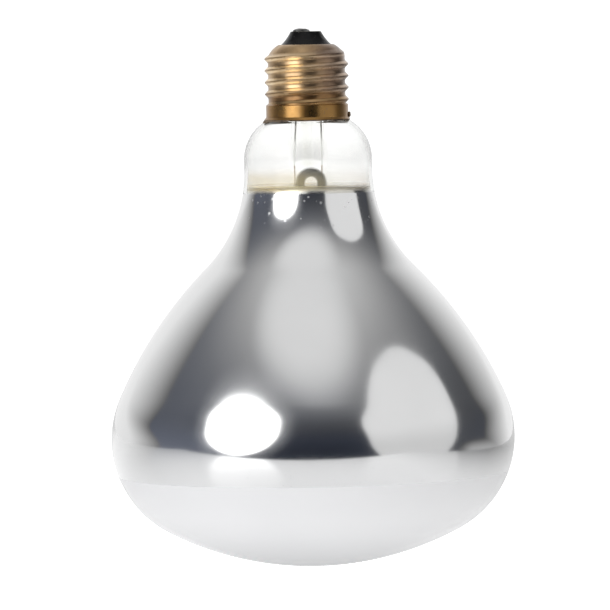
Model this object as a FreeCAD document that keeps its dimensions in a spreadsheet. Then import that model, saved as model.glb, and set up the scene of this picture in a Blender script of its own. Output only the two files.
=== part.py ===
"""Infrared heat lamp bulb: a blown reflector bulb with a screw cap and its glass mount.

Millimetres, +Z up along the lamp's axis. The origin is the lowest point of the
domed face, so the lamp stands face down with its cap at the top.
"""
import FreeCAD, Part
import math
import os
import Sketcher
from FreeCAD import Placement, Rotation, Vector

SIZES = {
    # Blown bulb
    "bulb_diameter": 125.0,
    "dome_radius": 97.0,
    "corner_radius": 32.0,
    "flank_radius": 130.0,
    "waist_radius": 43.0,
    "waist_height": 123.0,
    "neck_diameter": 39.6,
    "neck_length": 3.0,
    "neck_shoulder_radius": 13.9,
    "throat_fillet_radius": 2.0,
    "throat_length": 10.8,
    "bulb_wall": 1.0,
    # Screw cap
    "thread_diameter": 26.2,
    "thread_depth": 1.2,
    "thread_pitch": 3.629,
    "thread_turns": 3.5,
    "thread_crest_radius": 0.4,
    "thread_crest_width": 0.5,
    "thread_base_width": 2.0,
    "thread_runout": 0.6,
    "brass_sheet": 0.3,
    "rim_overlap": 1.9,
    "lip_flare": 0.6,
    "lip_height": 0.8,
    "skirt_inset": 0.4,
    "skirt_length": 4.4,
    "skirt_step": 0.65,
    "crown_height": 3.75,
    "crown_inset": 3.45,
    "crown_radius": 7.0,
    "crown_land": 0.7,
    "cement_gap": 0.6,
    "cement_bead": 0.3,
    # Insulator, contact and solder
    "insulator_foot": 0.8,
    "insulator_rise": 4.0,
    "insulator_top_inset": 3.0,
    "insulator_scoop_radius": 14.5,
    "insulator_clearance": 0.05,
    "insulator_side_gap": 0.4,
    "contact_inset": 0.3,
    "contact_thickness": 0.6,
    "contact_seat_depth": 0.55,
    "contact_edge_radius": 0.25,
    "contact_hole_diameter": 1.8,
    "solder_diameter": 5.6,
    "solder_height": 0.95,
    "solder_offset": 1.35,
    "weld_width": 3.0,
    "weld_height": 1.8,
    "weld_depth": 1.2,
    # Glass stem
    "stem_diameter": 11.9,
    "stem_wall": 1.0,
    "stem_length": 27.0,
    "press_length": 12.0,
    "press_thickness": 4.2,
    "press_arch_margin": 0.65,
    "press_arch_drop": 1.5,
    "exhaust_diameter": 4.0,
    "exhaust_wall": 0.7,
    "exhaust_rise": 2.5,
    "blow_hole_drop": 4.6,
    "blow_hole_diameter": 3.8,
    # Wires, arbor and filament
    "lead_diameter": 0.5,
    "lead_inset": 0.75,
    "lead_bend_radius": 1.4,
    "lead_rise": 1.4,
    "lead_foot": 2.0,
    "lead_tube_gap": 0.8,
    "seal_wire_diameter": 0.4,
    "inner_lead_diameter": 0.8,
    "inner_lead_drop": 16.0,
    "inner_lead_bend_radius": 4.0,
    "inner_lead_foot": 6.0,
    "arbor_diameter": 3.2,
    "arbor_length": 24.0,
    "button_diameter": 5.0,
    "button_height": 4.0,
    "support_diameter": 0.5,
    "support_count": 5,
    "support_bend_radius": 3.0,
    "support_loop_clearance": 0.05,
    "filament_drop": 40.0,
    "filament_ring_diameter": 28.0,
    "filament_coil_diameter": 1.6,
    "filament_gap_angle": 56.0,
}

doc = FreeCAD.newDocument("infrared_heat_lamp")
sheet = doc.addObject("Spreadsheet::Sheet", "Sizes")
for row, (alias, size) in enumerate(SIZES.items(), start=1):
    sheet.set(f"A{row}", alias.replace("_", " "))
    sheet.set(f"B{row}", str(size))
    sheet.setAlias(f"B{row}", alias)
doc.recompute()


# Places that several pieces share, as expressions over the sheet

BULB_R = "(Sizes.bulb_diameter / 2)"
NECK_R = "(Sizes.neck_diameter / 2)"
THREAD_R = "(Sizes.thread_diameter / 2)"
ROOT_R = f"({THREAD_R} - Sizes.thread_depth)"
ROOT_BORE = f"({ROOT_R} - Sizes.brass_sheet)"
SKIRT_R = f"({THREAD_R} - Sizes.skirt_inset)"
SKIRT_BORE = f"({SKIRT_R} - Sizes.brass_sheet)"
THROAT_R = f"({ROOT_BORE} - Sizes.cement_gap)"
THROAT_BORE = f"({THROAT_R} - Sizes.bulb_wall)"

SHOULDER_Z = "(Sizes.waist_height + Sizes.neck_length)"
FILLET_REACH = "(Sizes.neck_shoulder_radius + Sizes.throat_fillet_radius)"
FILLET_OFFSET = f"({THROAT_R} - {NECK_R} + {FILLET_REACH})"
THROAT_FOOT = f"({SHOULDER_Z} + sqrt({FILLET_REACH} ^ 2 - {FILLET_OFFSET} ^ 2))"
THROAT_TOP = f"({THROAT_FOOT} + Sizes.throat_length)"

RIM_Z = f"({THROAT_FOOT} - Sizes.rim_overlap)"
SKIRT_TOP = f"({RIM_Z} + Sizes.skirt_length)"
ROOT_FOOT = f"({SKIRT_TOP} + Sizes.skirt_step)"
THREAD_Z = f"({ROOT_FOOT} + Sizes.thread_base_width / 2)"
THREAD_RISE = "(Sizes.thread_turns * Sizes.thread_pitch)"
CROWN_FOOT = f"({THREAD_Z} + {THREAD_RISE} + Sizes.thread_runout)"
CROWN_Z = f"({CROWN_FOOT} + Sizes.crown_height)"
CROWN_UNDER = f"({CROWN_Z} - Sizes.brass_sheet)"
CROWN_R = f"({ROOT_R} - Sizes.crown_inset)"
CROWN_HOLE = f"({CROWN_R} - Sizes.crown_land)"

INSULATOR_CONE_Z = f"({CROWN_FOOT} - Sizes.insulator_side_gap)"
INSULATOR_BASE = f"({INSULATOR_CONE_Z} - Sizes.insulator_foot)"
INSULATOR_TOP = f"({CROWN_Z} + Sizes.insulator_rise)"
INSULATOR_R = f"({CROWN_HOLE} - Sizes.insulator_clearance)"
INSULATOR_TOP_R = f"({INSULATOR_R} - Sizes.insulator_top_inset)"
CONTACT_SEAT = f"({INSULATOR_TOP} - Sizes.contact_seat_depth)"
CONTACT_R = f"({INSULATOR_TOP_R} - Sizes.contact_inset)"
CONTACT_TOP = f"({CONTACT_SEAT} + Sizes.contact_thickness)"
CONTACT_HOLE = "(Sizes.contact_hole_diameter / 2)"

STEM_R = "(Sizes.stem_diameter / 2)"
STEM_BORE = f"({STEM_R} - Sizes.stem_wall)"
FLARE_R = f"({THROAT_BORE} - {STEM_R})"
FLARE_Z = f"({THROAT_TOP} - {FLARE_R})"
FLANGE_Z = f"({THROAT_TOP} + Sizes.stem_wall)"
PRESS_TOP = f"({THROAT_TOP} - Sizes.stem_length)"
PRESS_BASE = f"({PRESS_TOP} - Sizes.press_length)"
ARCH_R = f"({STEM_R} + Sizes.press_arch_margin)"
ARCH_Z = f"({PRESS_TOP} - Sizes.press_arch_drop - {ARCH_R})"
BLOW_HOLE_Z = f"({PRESS_TOP} - Sizes.blow_hole_drop)"
EXHAUST_R = "(Sizes.exhaust_diameter / 2)"
EXHAUST_BORE = f"({EXHAUST_R} - Sizes.exhaust_wall)"
EXHAUST_TOP = f"({THROAT_TOP} + Sizes.exhaust_rise)"
LEAD_X = f"({STEM_BORE} - Sizes.lead_inset)"
GAP_R = f"({THROAT_R} + Sizes.cement_gap / 2)"
BUTTON_R = "(Sizes.button_diameter / 2)"
BUTTON_Z = f"({PRESS_BASE} - Sizes.arbor_length)"
FILAMENT_Z = f"({PRESS_BASE} - Sizes.filament_drop)"
RING_R = "(Sizes.filament_ring_diameter / 2)"
COIL_R = "(Sizes.filament_coil_diameter / 2)"
GAP_HALF_ANGLE = "Sizes.filament_gap_angle / 2 * 1 deg"


def number(expression):
    """The value of an expression over the sheet."""
    return float(sheet.evalExpression(expression))


# Sketch helpers

def new_sketch(body, name, plane="XZ_Plane"):
    """An empty sketch on one of the body's own origin planes."""
    sketch = body.newObject("Sketcher::SketchObject", name)
    support = next(item for item in body.Origin.OriginFeatures if item.Role == plane)
    sketch.AttachmentSupport = (support, [""])
    sketch.MapMode = "FlatFace"
    return sketch


def arc_between(start, end, radius):
    """The shorter arc from start to end; a positive radius turns to the left, a negative one to the right."""
    middle = (start + end) / 2
    along = (end - start).normalize()
    left = Vector(-along.y, along.x, 0)
    reach = math.sqrt(radius ** 2 - (start - end).Length ** 2 / 4)
    centre = middle + left * math.copysign(reach, radius)
    first, last = (start, end) if radius > 0 else (end, start)
    angles = [math.atan2(point.y - centre.y, point.x - centre.x) for point in (first, last)]
    return Part.ArcOfCircle(Part.Circle(centre, Vector(0, 0, 1), abs(radius)), *angles)


def bind(sketch, constraint, expression):
    """Adds a dimension to the sketch and ties it to the sheet."""
    index = sketch.addConstraint(constraint)
    sketch.setExpression(f"Constraints[{index}]", expression)


def place_point(sketch, edge, end, across, up):
    """Ties one end of an edge to its distances from the sketch's origin; a plain 0 keeps it on the axis."""
    if across == "0":
        sketch.addConstraint(Sketcher.Constraint("PointOnObject", edge, end, -2))
    else:
        bind(sketch, Sketcher.Constraint("DistanceX", -1, 1, edge, end, number(across)), across)
    bind(sketch, Sketcher.Constraint("DistanceY", -1, 1, edge, end, number(up)), up)


def draw_outline(sketch, corners):
    """A closed outline through corners (across, up) or (across, up, radius).

    A radius bends the edge that leaves its corner: "+" before it turns the edge to
    the left, "-" to the right.
    """
    points = [Vector(number(corner[0]), number(corner[1]), 0) for corner in corners]
    starts, ends = [], []
    for index, corner in enumerate(corners):
        start, end = points[index], points[(index + 1) % len(points)]
        if len(corner) == 2:
            edge = sketch.addGeometry(Part.LineSegment(start, end))
            starts.append((edge, 1))
            ends.append((edge, 2))
            continue
        turn, radius = corner[2][0], corner[2][1:]
        signed = number(radius) if turn == "+" else -number(radius)
        edge = sketch.addGeometry(arc_between(start, end, signed))
        starts.append((edge, 1 if turn == "+" else 2))
        ends.append((edge, 2 if turn == "+" else 1))
        bind(sketch, Sketcher.Constraint("Radius", edge, abs(signed)), radius)
    for index, corner in enumerate(corners):
        sketch.addConstraint(Sketcher.Constraint("Coincident", *ends[index - 1], *starts[index]))
        place_point(sketch, *starts[index], corner[0], corner[1])


def turn_section(body, sketch, kind="PartDesign::Revolution"):
    """Turns a sketch once round the lamp's axis."""
    turned = body.newObject(kind, sketch.Name + "_turned")
    turned.Profile = sketch
    turned.ReferenceAxis = (sketch, ["V_Axis"])
    turned.Angle = 360
    return turned


def turned_body(label, corners):
    """A body turned from one closed section."""
    body = doc.addObject("PartDesign::Body", label)
    sketch = new_sketch(body, label + "_section")
    draw_outline(sketch, corners)
    turn_section(body, sketch)
    return body


# Blown bulb

def touching_centre(first, first_reach, second, second_reach):
    """The centre, on the axis side, of a circle at given distances from two other centres."""
    between = second - first
    span = between.Length
    along = (span ** 2 + first_reach ** 2 - second_reach ** 2) / (2 * span)
    aside = math.sqrt(first_reach ** 2 - along ** 2)
    unit = between / span
    return first + unit * along + Vector(-unit.y, unit.x, 0) * aside


def bulb_outline(sketch):
    """Dome, corner, flank, waist, neck, shoulder and throat as one run of tangent arcs."""
    dome_r, corner_r, flank_r, waist_r, shoulder_r, fillet_r = (
        number("Sizes." + name) for name in (
            "dome_radius", "corner_radius", "flank_radius", "waist_radius",
            "neck_shoulder_radius", "throat_fillet_radius"))
    bulb_r, neck_r, throat_r = number(BULB_R), number(NECK_R), number(THROAT_R)
    waist_z, shoulder_z = number("Sizes.waist_height"), number(SHOULDER_Z)
    foot_z, top_z = number(THROAT_FOOT), number(THROAT_TOP)

    dome_c = Vector(0, dome_r, 0)
    inset = bulb_r - corner_r
    corner_c = Vector(inset, dome_r - math.sqrt((dome_r - corner_r) ** 2 - inset ** 2), 0)
    waist_c = Vector(neck_r + waist_r, waist_z, 0)
    flank_c = touching_centre(corner_c, flank_r - corner_r, waist_c, flank_r + waist_r)
    shoulder_c = Vector(neck_r - shoulder_r, shoulder_z, 0)
    fillet_c = Vector(throat_r + fillet_r, foot_z, 0)

    base = Vector(0, 0, 0)
    dome_end = dome_c + (corner_c - dome_c).normalize() * dome_r
    corner_end = flank_c + (corner_c - flank_c).normalize() * flank_r
    flank_end = flank_c + (waist_c - flank_c).normalize() * flank_r
    neck_foot, neck_top = Vector(neck_r, waist_z, 0), Vector(neck_r, shoulder_z, 0)
    shoulder_end = shoulder_c + (fillet_c - shoulder_c).normalize() * shoulder_r
    throat_foot, throat_top = Vector(throat_r, foot_z, 0), Vector(throat_r, top_z, 0)
    axis_top = Vector(0, top_z, 0)

    dome, corner, flank, waist, neck, shoulder, fillet, throat, lid, axis = sketch.addGeometry([
        arc_between(base, dome_end, dome_r),
        arc_between(dome_end, corner_end, corner_r),
        arc_between(corner_end, flank_end, flank_r),
        arc_between(flank_end, neck_foot, -waist_r),
        Part.LineSegment(neck_foot, neck_top),
        arc_between(neck_top, shoulder_end, shoulder_r),
        arc_between(shoulder_end, throat_foot, -fillet_r),
        Part.LineSegment(throat_foot, throat_top),
        Part.LineSegment(throat_top, axis_top),
        Part.LineSegment(axis_top, base)])

    sketch.addConstraint([
        Sketcher.Constraint("Coincident", dome, 1, -1, 1),
        Sketcher.Constraint("PointOnObject", dome, 3, -2),
        Sketcher.Constraint("Tangent", dome, 2, corner, 1),
        Sketcher.Constraint("Tangent", corner, 2, flank, 1),
        Sketcher.Constraint("Tangent", flank, 2, waist, 2),
        Sketcher.Constraint("Tangent", waist, 1, neck, 1),
        Sketcher.Constraint("Vertical", neck),
        Sketcher.Constraint("Tangent", neck, 2, shoulder, 1),
        Sketcher.Constraint("Tangent", shoulder, 2, fillet, 2),
        Sketcher.Constraint("Tangent", fillet, 1, throat, 1),
        Sketcher.Constraint("Vertical", throat),
        Sketcher.Constraint("Coincident", throat, 2, lid, 1),
        Sketcher.Constraint("Horizontal", lid),
        Sketcher.Constraint("PointOnObject", lid, 2, -2),
        Sketcher.Constraint("Coincident", lid, 2, axis, 1),
        Sketcher.Constraint("Coincident", axis, 2, -1, 1)])
    radii = {dome: "dome_radius", corner: "corner_radius", flank: "flank_radius", waist: "waist_radius",
             shoulder: "neck_shoulder_radius", fillet: "throat_fillet_radius"}
    for edge, name in radii.items():
        bind(sketch, Sketcher.Constraint("Radius", edge, number("Sizes." + name)), "Sizes." + name)
    bind(sketch, Sketcher.Constraint("DistanceX", -1, 1, corner, 3, inset),
         f"{BULB_R} - Sizes.corner_radius")
    place_point(sketch, neck, 1, NECK_R, "Sizes.waist_height")
    bind(sketch, Sketcher.Constraint("DistanceY", neck, 1, neck, 2, shoulder_z - waist_z),
         "Sizes.neck_length")
    bind(sketch, Sketcher.Constraint("DistanceX", -1, 1, throat, 1, throat_r), THROAT_R)
    bind(sketch, Sketcher.Constraint("DistanceY", throat, 1, throat, 2, top_z - foot_z),
         "Sizes.throat_length")


def glass_envelope():
    """The blown bulb, one wall of glass from the domed face to the open throat."""
    body = doc.addObject("PartDesign::Body", "glass_envelope")
    sketch = new_sketch(body, "bulb_section")
    bulb_outline(sketch)
    turned = turn_section(body, sketch)
    doc.recompute()
    lid = max(range(len(turned.Shape.Faces)), key=lambda index: turned.Shape.Faces[index].CenterOfMass.z)
    wall = body.newObject("PartDesign::Thickness", "bulb_wall")
    wall.Base = (turned, [f"Face{lid + 1}"])
    wall.setExpression("Value", "Sizes.bulb_wall")
    wall.Reversed = True
    wall.Join = "Intersection"
    return body


# Screw cap

def cap_shell():
    """The pressed brass shell: flared lip, plain skirt, rolled thread and rounded crown."""
    body = turned_body("cap_shell", [
        (f"{SKIRT_R} + Sizes.lip_flare", RIM_Z),
        (SKIRT_R, f"{RIM_Z} + Sizes.lip_height"),
        (SKIRT_R, SKIRT_TOP),
        (ROOT_R, ROOT_FOOT),
        (ROOT_R, CROWN_FOOT, "+Sizes.crown_radius"),
        (CROWN_R, CROWN_Z),
        (CROWN_HOLE, CROWN_Z),
        (CROWN_HOLE, CROWN_UNDER),
        (f"{CROWN_R} - Sizes.brass_sheet / 2", CROWN_UNDER, "-Sizes.crown_radius - Sizes.brass_sheet"),
        (ROOT_BORE, f"{CROWN_FOOT} - Sizes.brass_sheet / 2"),
        (ROOT_BORE, f"{ROOT_FOOT} - Sizes.brass_sheet / 2"),
        (SKIRT_BORE, f"{SKIRT_TOP} - Sizes.brass_sheet / 2"),
        (SKIRT_BORE, f"{RIM_Z} + Sizes.lip_height"),
        (f"{SKIRT_BORE} + Sizes.lip_flare", RIM_Z)])
    ridge = new_sketch(body, "thread_ridge")
    wall_middle = f"{ROOT_R} - Sizes.brass_sheet / 2"
    crest_edge = (f"{THREAD_R} - Sizes.thread_crest_radius"
                  " + sqrt(Sizes.thread_crest_radius ^ 2 - (Sizes.thread_crest_width / 2) ^ 2)")
    draw_outline(ridge, [
        (wall_middle, ROOT_FOOT),
        (crest_edge, f"{THREAD_Z} - Sizes.thread_crest_width / 2", "+Sizes.thread_crest_radius"),
        (crest_edge, f"{THREAD_Z} + Sizes.thread_crest_width / 2"),
        (wall_middle, f"{ROOT_FOOT} + Sizes.thread_base_width")])
    thread = body.newObject("PartDesign::AdditiveHelix", "rolled_thread")
    thread.Profile = ridge
    thread.ReferenceAxis = (ridge, ["V_Axis"])
    thread.Mode = "pitch-turns-angle"
    thread.setExpression("Pitch", "Sizes.thread_pitch")
    thread.setExpression("Turns", "Sizes.thread_turns")
    return body


def cap_insulator():
    """The black glass that fills the crown and rises as a scooped cone under the contact."""
    return turned_body("cap_insulator", [
        (CONTACT_HOLE, INSULATOR_BASE),
        (f"{ROOT_BORE} - Sizes.insulator_side_gap", INSULATOR_BASE),
        (f"{ROOT_BORE} - Sizes.insulator_side_gap", INSULATOR_CONE_Z),
        (f"{CROWN_R} - Sizes.insulator_side_gap", CROWN_UNDER),
        (INSULATOR_R, CROWN_UNDER),
        (INSULATOR_R, CROWN_Z, "-Sizes.insulator_scoop_radius"),
        (INSULATOR_TOP_R, INSULATOR_TOP),
        (f"{CONTACT_R} + Sizes.insulator_clearance", INSULATOR_TOP),
        (f"{CONTACT_R} + Sizes.insulator_clearance", CONTACT_SEAT),
        (CONTACT_HOLE, CONTACT_SEAT)])


def centre_contact():
    """The round contact plate, with the hole that the lead comes up through."""
    return turned_body("centre_contact", [
        (CONTACT_HOLE, CONTACT_SEAT),
        (CONTACT_R, CONTACT_SEAT),
        (CONTACT_R, f"{CONTACT_TOP} - Sizes.contact_edge_radius", "+Sizes.contact_edge_radius"),
        (f"{CONTACT_R} - Sizes.contact_edge_radius", CONTACT_TOP),
        (CONTACT_HOLE, CONTACT_TOP)])


def contact_solder():
    """The drop of solder that closes the contact's hole, a little to one side as it set."""
    drop_r = "(Sizes.solder_diameter / 2)"
    cap_r = f"({drop_r} ^ 2 + Sizes.solder_height ^ 2) / (2 * Sizes.solder_height)"
    body = turned_body("contact_solder", [
        ("0", CONTACT_TOP),
        (drop_r, CONTACT_TOP, "+" + cap_r),
        ("0", f"{CONTACT_TOP} + Sizes.solder_height")])
    body.setExpression("Placement.Base.x", "-Sizes.solder_offset")
    return body


def rim_weld(shell):
    """The bead on the skirt that joins the side lead to the shell."""
    bead = doc.addObject("Part::Ellipsoid", "weld_bead")
    bead.setExpression("Radius1", "Sizes.weld_height / 2")
    bead.setExpression("Radius2", "Sizes.weld_depth / 2")
    bead.setExpression("Radius3", "Sizes.weld_width / 2")
    bead.setExpression("Placement.Base.x", f"{SKIRT_R} + Sizes.weld_depth / 2 - Sizes.brass_sheet / 2")
    bead.setExpression("Placement.Base.z", f"{RIM_Z} + Sizes.lip_height / 2 + Sizes.weld_height / 2")
    return cut_from("rim_weld", bead, shell)


def basing_cement(envelope, side_lead):
    """The cement between the throat and the skirt, with a thin bead below the rim."""
    bead_z = f"({RIM_Z} - Sizes.cement_bead)"
    shoulder_r = (f"({NECK_R} - Sizes.neck_shoulder_radius"
                  f" + sqrt(Sizes.neck_shoulder_radius ^ 2 - ({bead_z} - {SHOULDER_Z}) ^ 2))")
    fill_top = f"{SKIRT_TOP} - Sizes.brass_sheet / 2"
    blank = turned_body("cement_blank", [
        (f"{shoulder_r} - Sizes.bulb_wall / 2", bead_z),
        (SKIRT_BORE, bead_z),
        (f"{SKIRT_BORE} + Sizes.lip_flare", RIM_Z),
        (SKIRT_BORE, f"{RIM_Z} + Sizes.lip_height"),
        (SKIRT_BORE, fill_top),
        (f"{THROAT_R} - Sizes.bulb_wall / 2", fill_top),
        (f"{THROAT_R} - Sizes.bulb_wall / 2", THROAT_FOOT)])
    on_glass = cut_from("cement_on_glass", blank, envelope)
    return cut_from("basing_cement", on_glass, side_lead)


def cut_from(label, base, tool):
    """What is left of the base where the tool doesn't stand."""
    cut = doc.addObject("Part::Cut", label)
    cut.Base = base
    cut.Tool = tool
    return cut


# Glass stem

def glass_stem():
    """The flared stem tube, sealed to the throat, and the flat press that holds the wires."""
    body = turned_body("glass_stem", [
        ("0", PRESS_BASE),
        (STEM_R, PRESS_BASE),
        (STEM_R, FLARE_Z, "-" + FLARE_R),
        (THROAT_BORE, THROAT_TOP),
        (THROAT_R, THROAT_TOP),
        (THROAT_R, FLANGE_Z),
        (THROAT_BORE, FLANGE_Z, f"+{FLARE_R} + Sizes.stem_wall"),
        (STEM_BORE, FLARE_Z),
        (STEM_BORE, PRESS_TOP),
        (EXHAUST_BORE, PRESS_TOP),
        (EXHAUST_BORE, BLOW_HOLE_Z),
        ("0", BLOW_HOLE_Z)])
    for name, side, backward in (("front_imprint", "", True), ("back_imprint", "-", False)):
        arch = new_sketch(body, name)
        arch.setExpression(".AttachmentOffset.Base.z", f"{side}Sizes.press_thickness / 2")
        draw_outline(arch, [
            (ARCH_R, PRESS_BASE),
            (ARCH_R, ARCH_Z, "+" + ARCH_R),
            ("0", f"{ARCH_Z} + {ARCH_R}", "+" + ARCH_R),
            ("-" + ARCH_R, ARCH_Z),
            ("-" + ARCH_R, PRESS_BASE)])
        press_cut(body, arch, backward)
    hole = new_sketch(body, "blow_hole")
    draw_circle(hole, "0", BLOW_HOLE_Z, "Sizes.blow_hole_diameter / 2")
    press_cut(body, hole, True)
    wires = new_sketch(body, "seal_holes", "XY_Plane")
    for side in ("", "-"):
        draw_circle(wires, side + LEAD_X, "0", "Sizes.seal_wire_diameter / 2")
    seals = body.newObject("PartDesign::Pocket", "seal_hole_cut")
    seals.Profile = wires
    seals.Type = "ThroughAll"
    seals.Reversed = True
    return body


def draw_circle(sketch, across, up, radius):
    """A circle whose centre and radius are tied to the sheet; a plain 0 keeps its centre on an axis."""
    places = [0.0 if place == "0" else number(place) for place in (across, up)]
    circle = sketch.addGeometry(Part.Circle(Vector(*places, 0), Vector(0, 0, 1), number(radius)))
    for place, kind, axis in ((across, "DistanceX", -2), (up, "DistanceY", -1)):
        if place == "0":
            sketch.addConstraint(Sketcher.Constraint("PointOnObject", circle, 3, axis))
        else:
            bind(sketch, Sketcher.Constraint(kind, -1, 1, circle, 3, number(place)), place)
    bind(sketch, Sketcher.Constraint("Radius", circle, number(radius)), radius)


def press_cut(body, sketch, backward):
    """Cuts a sketch through half of the press, towards the front when backward is set."""
    cut = body.newObject("PartDesign::Pocket", sketch.Name + "_cut")
    cut.Profile = sketch
    cut.setExpression("Length", STEM_R)
    cut.Reversed = backward
    return cut


def exhaust_tube():
    """The pumping tube on the press, tipped off inside the cap."""
    dome_z = f"{EXHAUST_TOP} - {EXHAUST_R}"
    return turned_body("exhaust_tube", [
        (EXHAUST_BORE, PRESS_TOP),
        (EXHAUST_R, PRESS_TOP),
        (EXHAUST_R, dome_z, "+" + EXHAUST_R),
        ("0", EXHAUST_TOP),
        ("0", f"{EXHAUST_TOP} - Sizes.exhaust_wall", "-" + EXHAUST_BORE),
        (EXHAUST_BORE, dome_z)])


# Wires, arbor and filament

def rounded_path(points, radius):
    """A wire through the points, with its corners rounded by tangent arcs."""
    edges = []
    reached = points[0]
    for before, corner, after in zip(points, points[1:], points[2:]):
        back, onward = (before - corner).normalize(), (after - corner).normalize()
        half = back.getAngle(onward) / 2
        bisector = (back + onward).normalize()
        entry = corner + back * (radius / math.tan(half))
        leave = corner + onward * (radius / math.tan(half))
        crest = corner + bisector * (radius / math.sin(half) - radius)
        edges += [Part.LineSegment(reached, entry).toShape(), Part.Arc(entry, crest, leave).toShape()]
        reached = leave
    edges.append(Part.LineSegment(reached, points[-1]).toShape())
    return Part.Wire(edges)


def bent_wire(label, places, diameter, bend):
    """A round wire swept along straight runs and tangent bends."""
    points = [Vector(*(number(place) for place in point)) for point in places]
    path = doc.addObject("Part::Feature", label + "_path")
    path.Shape = rounded_path(points, number(bend))
    section = doc.addObject("Part::Circle", label + "_section")
    section.setExpression("Radius", f"{diameter} / 2")
    section.Placement = Placement(points[0], Rotation(Vector(0, 0, 1), points[1] - points[0]))
    wire = doc.addObject("Part::Sweep", label)
    wire.Sections = [section]
    wire.Spine = (path, [f"Edge{index + 1}" for index in range(len(path.Shape.Edges))])
    wire.Solid = True
    return wire


def centre_lead():
    """The lead from the press, slanting past the tipped tube and up to the centre contact."""
    return bent_wire("centre_lead", [
        (f"-{LEAD_X}", "0", PRESS_TOP),
        (f"-{LEAD_X}", "0", f"{PRESS_TOP} + Sizes.lead_foot"),
        (f"-{EXHAUST_R} - Sizes.lead_tube_gap", "0", FLANGE_Z),
        ("0", "0", INSULATOR_BASE),
        ("0", "0", CONTACT_TOP)], "Sizes.lead_diameter", "Sizes.lead_bend_radius")


def side_lead():
    """The lead over the flare and down between the throat and the shell to the rim."""
    over_z = f"{FLANGE_Z} + Sizes.lead_rise"
    return bent_wire("side_lead", [
        (LEAD_X, "0", PRESS_TOP),
        (LEAD_X, "0", over_z),
        (GAP_R, "0", over_z),
        (GAP_R, "0", f"{THROAT_FOOT} + Sizes.lead_diameter")],
        "Sizes.lead_diameter", "Sizes.lead_bend_radius")


def seal_wires():
    """The two wires sealed in the press."""
    wires = []
    for name, side in (("left_seal_wire", "-"), ("right_seal_wire", "")):
        wire = doc.addObject("Part::Cylinder", name)
        wire.setExpression("Radius", "Sizes.seal_wire_diameter / 2")
        wire.setExpression("Height", "Sizes.press_length")
        wire.setExpression("Placement.Base.x", side + LEAD_X)
        wire.setExpression("Placement.Base.z", PRESS_BASE)
        wires.append(wire)
    return grouped("seal_wires", wires)


def inner_lead(label, side):
    """A stiff lead from the press down to one end of the filament."""
    end_x = f"{side}{RING_R} * sin({GAP_HALF_ANGLE})"
    end_y = f"-{RING_R} * cos({GAP_HALF_ANGLE})"
    end_z = f"{FILAMENT_Z} + {COIL_R}"
    return bent_wire(label, [
        (side + LEAD_X, "0", PRESS_BASE),
        (side + LEAD_X, "0", f"{PRESS_BASE} - Sizes.inner_lead_drop"),
        (end_x, end_y, f"{end_z} + Sizes.inner_lead_foot"),
        (end_x, end_y, end_z)], "Sizes.inner_lead_diameter", "Sizes.inner_lead_bend_radius")


def arbor_rod():
    """The glass rod below the press, with the button that holds the support wires."""
    rod_r, button_r = "Sizes.arbor_diameter / 2", BUTTON_R
    return turned_body("arbor_rod", [
        ("0", BUTTON_Z),
        (button_r, BUTTON_Z),
        (button_r, f"{BUTTON_Z} + Sizes.button_height"),
        (rod_r, f"{BUTTON_Z} + Sizes.button_height"),
        (rod_r, PRESS_BASE),
        ("0", PRESS_BASE)])


def filament_supports():
    """Wires that leave the button and end in loops round the filament."""
    loop_r = f"({COIL_R} + Sizes.support_loop_clearance + Sizes.support_diameter / 2)"
    arm_z = f"{BUTTON_Z} + Sizes.button_height / 2"
    arm = bent_wire("support_arm", [
        (BUTTON_R, "0", arm_z),
        (RING_R, "0", arm_z),
        (RING_R, "0", f"{FILAMENT_Z} + {loop_r}")], "Sizes.support_diameter", "Sizes.support_bend_radius")
    loop = doc.addObject("Part::Torus", "support_loop")
    loop.setExpression("Radius1", loop_r)
    loop.setExpression("Radius2", "Sizes.support_diameter / 2")
    loop.Placement = Placement(Vector(), Rotation(Vector(1, 0, 0), 90))
    loop.setExpression("Placement.Base.x", RING_R)
    loop.setExpression("Placement.Base.z", FILAMENT_Z)
    support = doc.addObject("Part::Fuse", "one_support")
    support.Base = arm
    support.Tool = loop
    doc.recompute()
    count = round(number("Sizes.support_count"))
    step = (360 - number("Sizes.filament_gap_angle")) / count
    first = -90 + number("Sizes.filament_gap_angle") / 2 + step / 2
    copies = doc.addObject("Part::Feature", "filament_supports")
    turned = []
    for index in range(count):
        turned.append(support.Shape.rotated(Vector(), Vector(0, 0, 1), first + index * step))
    copies.Shape = Part.makeCompound(turned)
    return copies


def filament():
    """The coiled filament, as the plain ring that its coil fills."""
    ring = doc.addObject("Part::Torus", "filament")
    ring.setExpression("Radius1", RING_R)
    ring.setExpression("Radius2", COIL_R)
    ring.setExpression("Angle3", "360 - Sizes.filament_gap_angle")
    turn = -90 + number("Sizes.filament_gap_angle") / 2
    ring.Placement = Placement(Vector(), Rotation(Vector(0, 0, 1), turn))
    ring.setExpression("Placement.Base.z", FILAMENT_Z)
    return ring


def grouped(label, items):
    """Several loose pieces as one sub-part."""
    group = doc.addObject("Part::Compound", label)
    group.Links = items
    return group


# The lamp

envelope = glass_envelope()
shell = cap_shell()
over_the_flare = side_lead()
sub_parts = [
    envelope, shell, over_the_flare,
    cap_insulator(), centre_contact(), contact_solder(),
    rim_weld(shell), basing_cement(envelope, over_the_flare),
    glass_stem(), exhaust_tube(), centre_lead(), seal_wires(),
    inner_lead("inner_lead_left", "-"), inner_lead("inner_lead_right", ""),
    arbor_rod(), filament_supports(), filament()]
doc.recompute()

failed = [item.Label for item in doc.Objects if {"Invalid", "Error"} & set(item.State)]
if failed:
    raise RuntimeError(f"not built: {failed}")
for item in sub_parts:
    if item.Shape.isNull() or not item.Shape.isValid():
        raise RuntimeError(f"{item.Label} has no sound shape")

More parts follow.
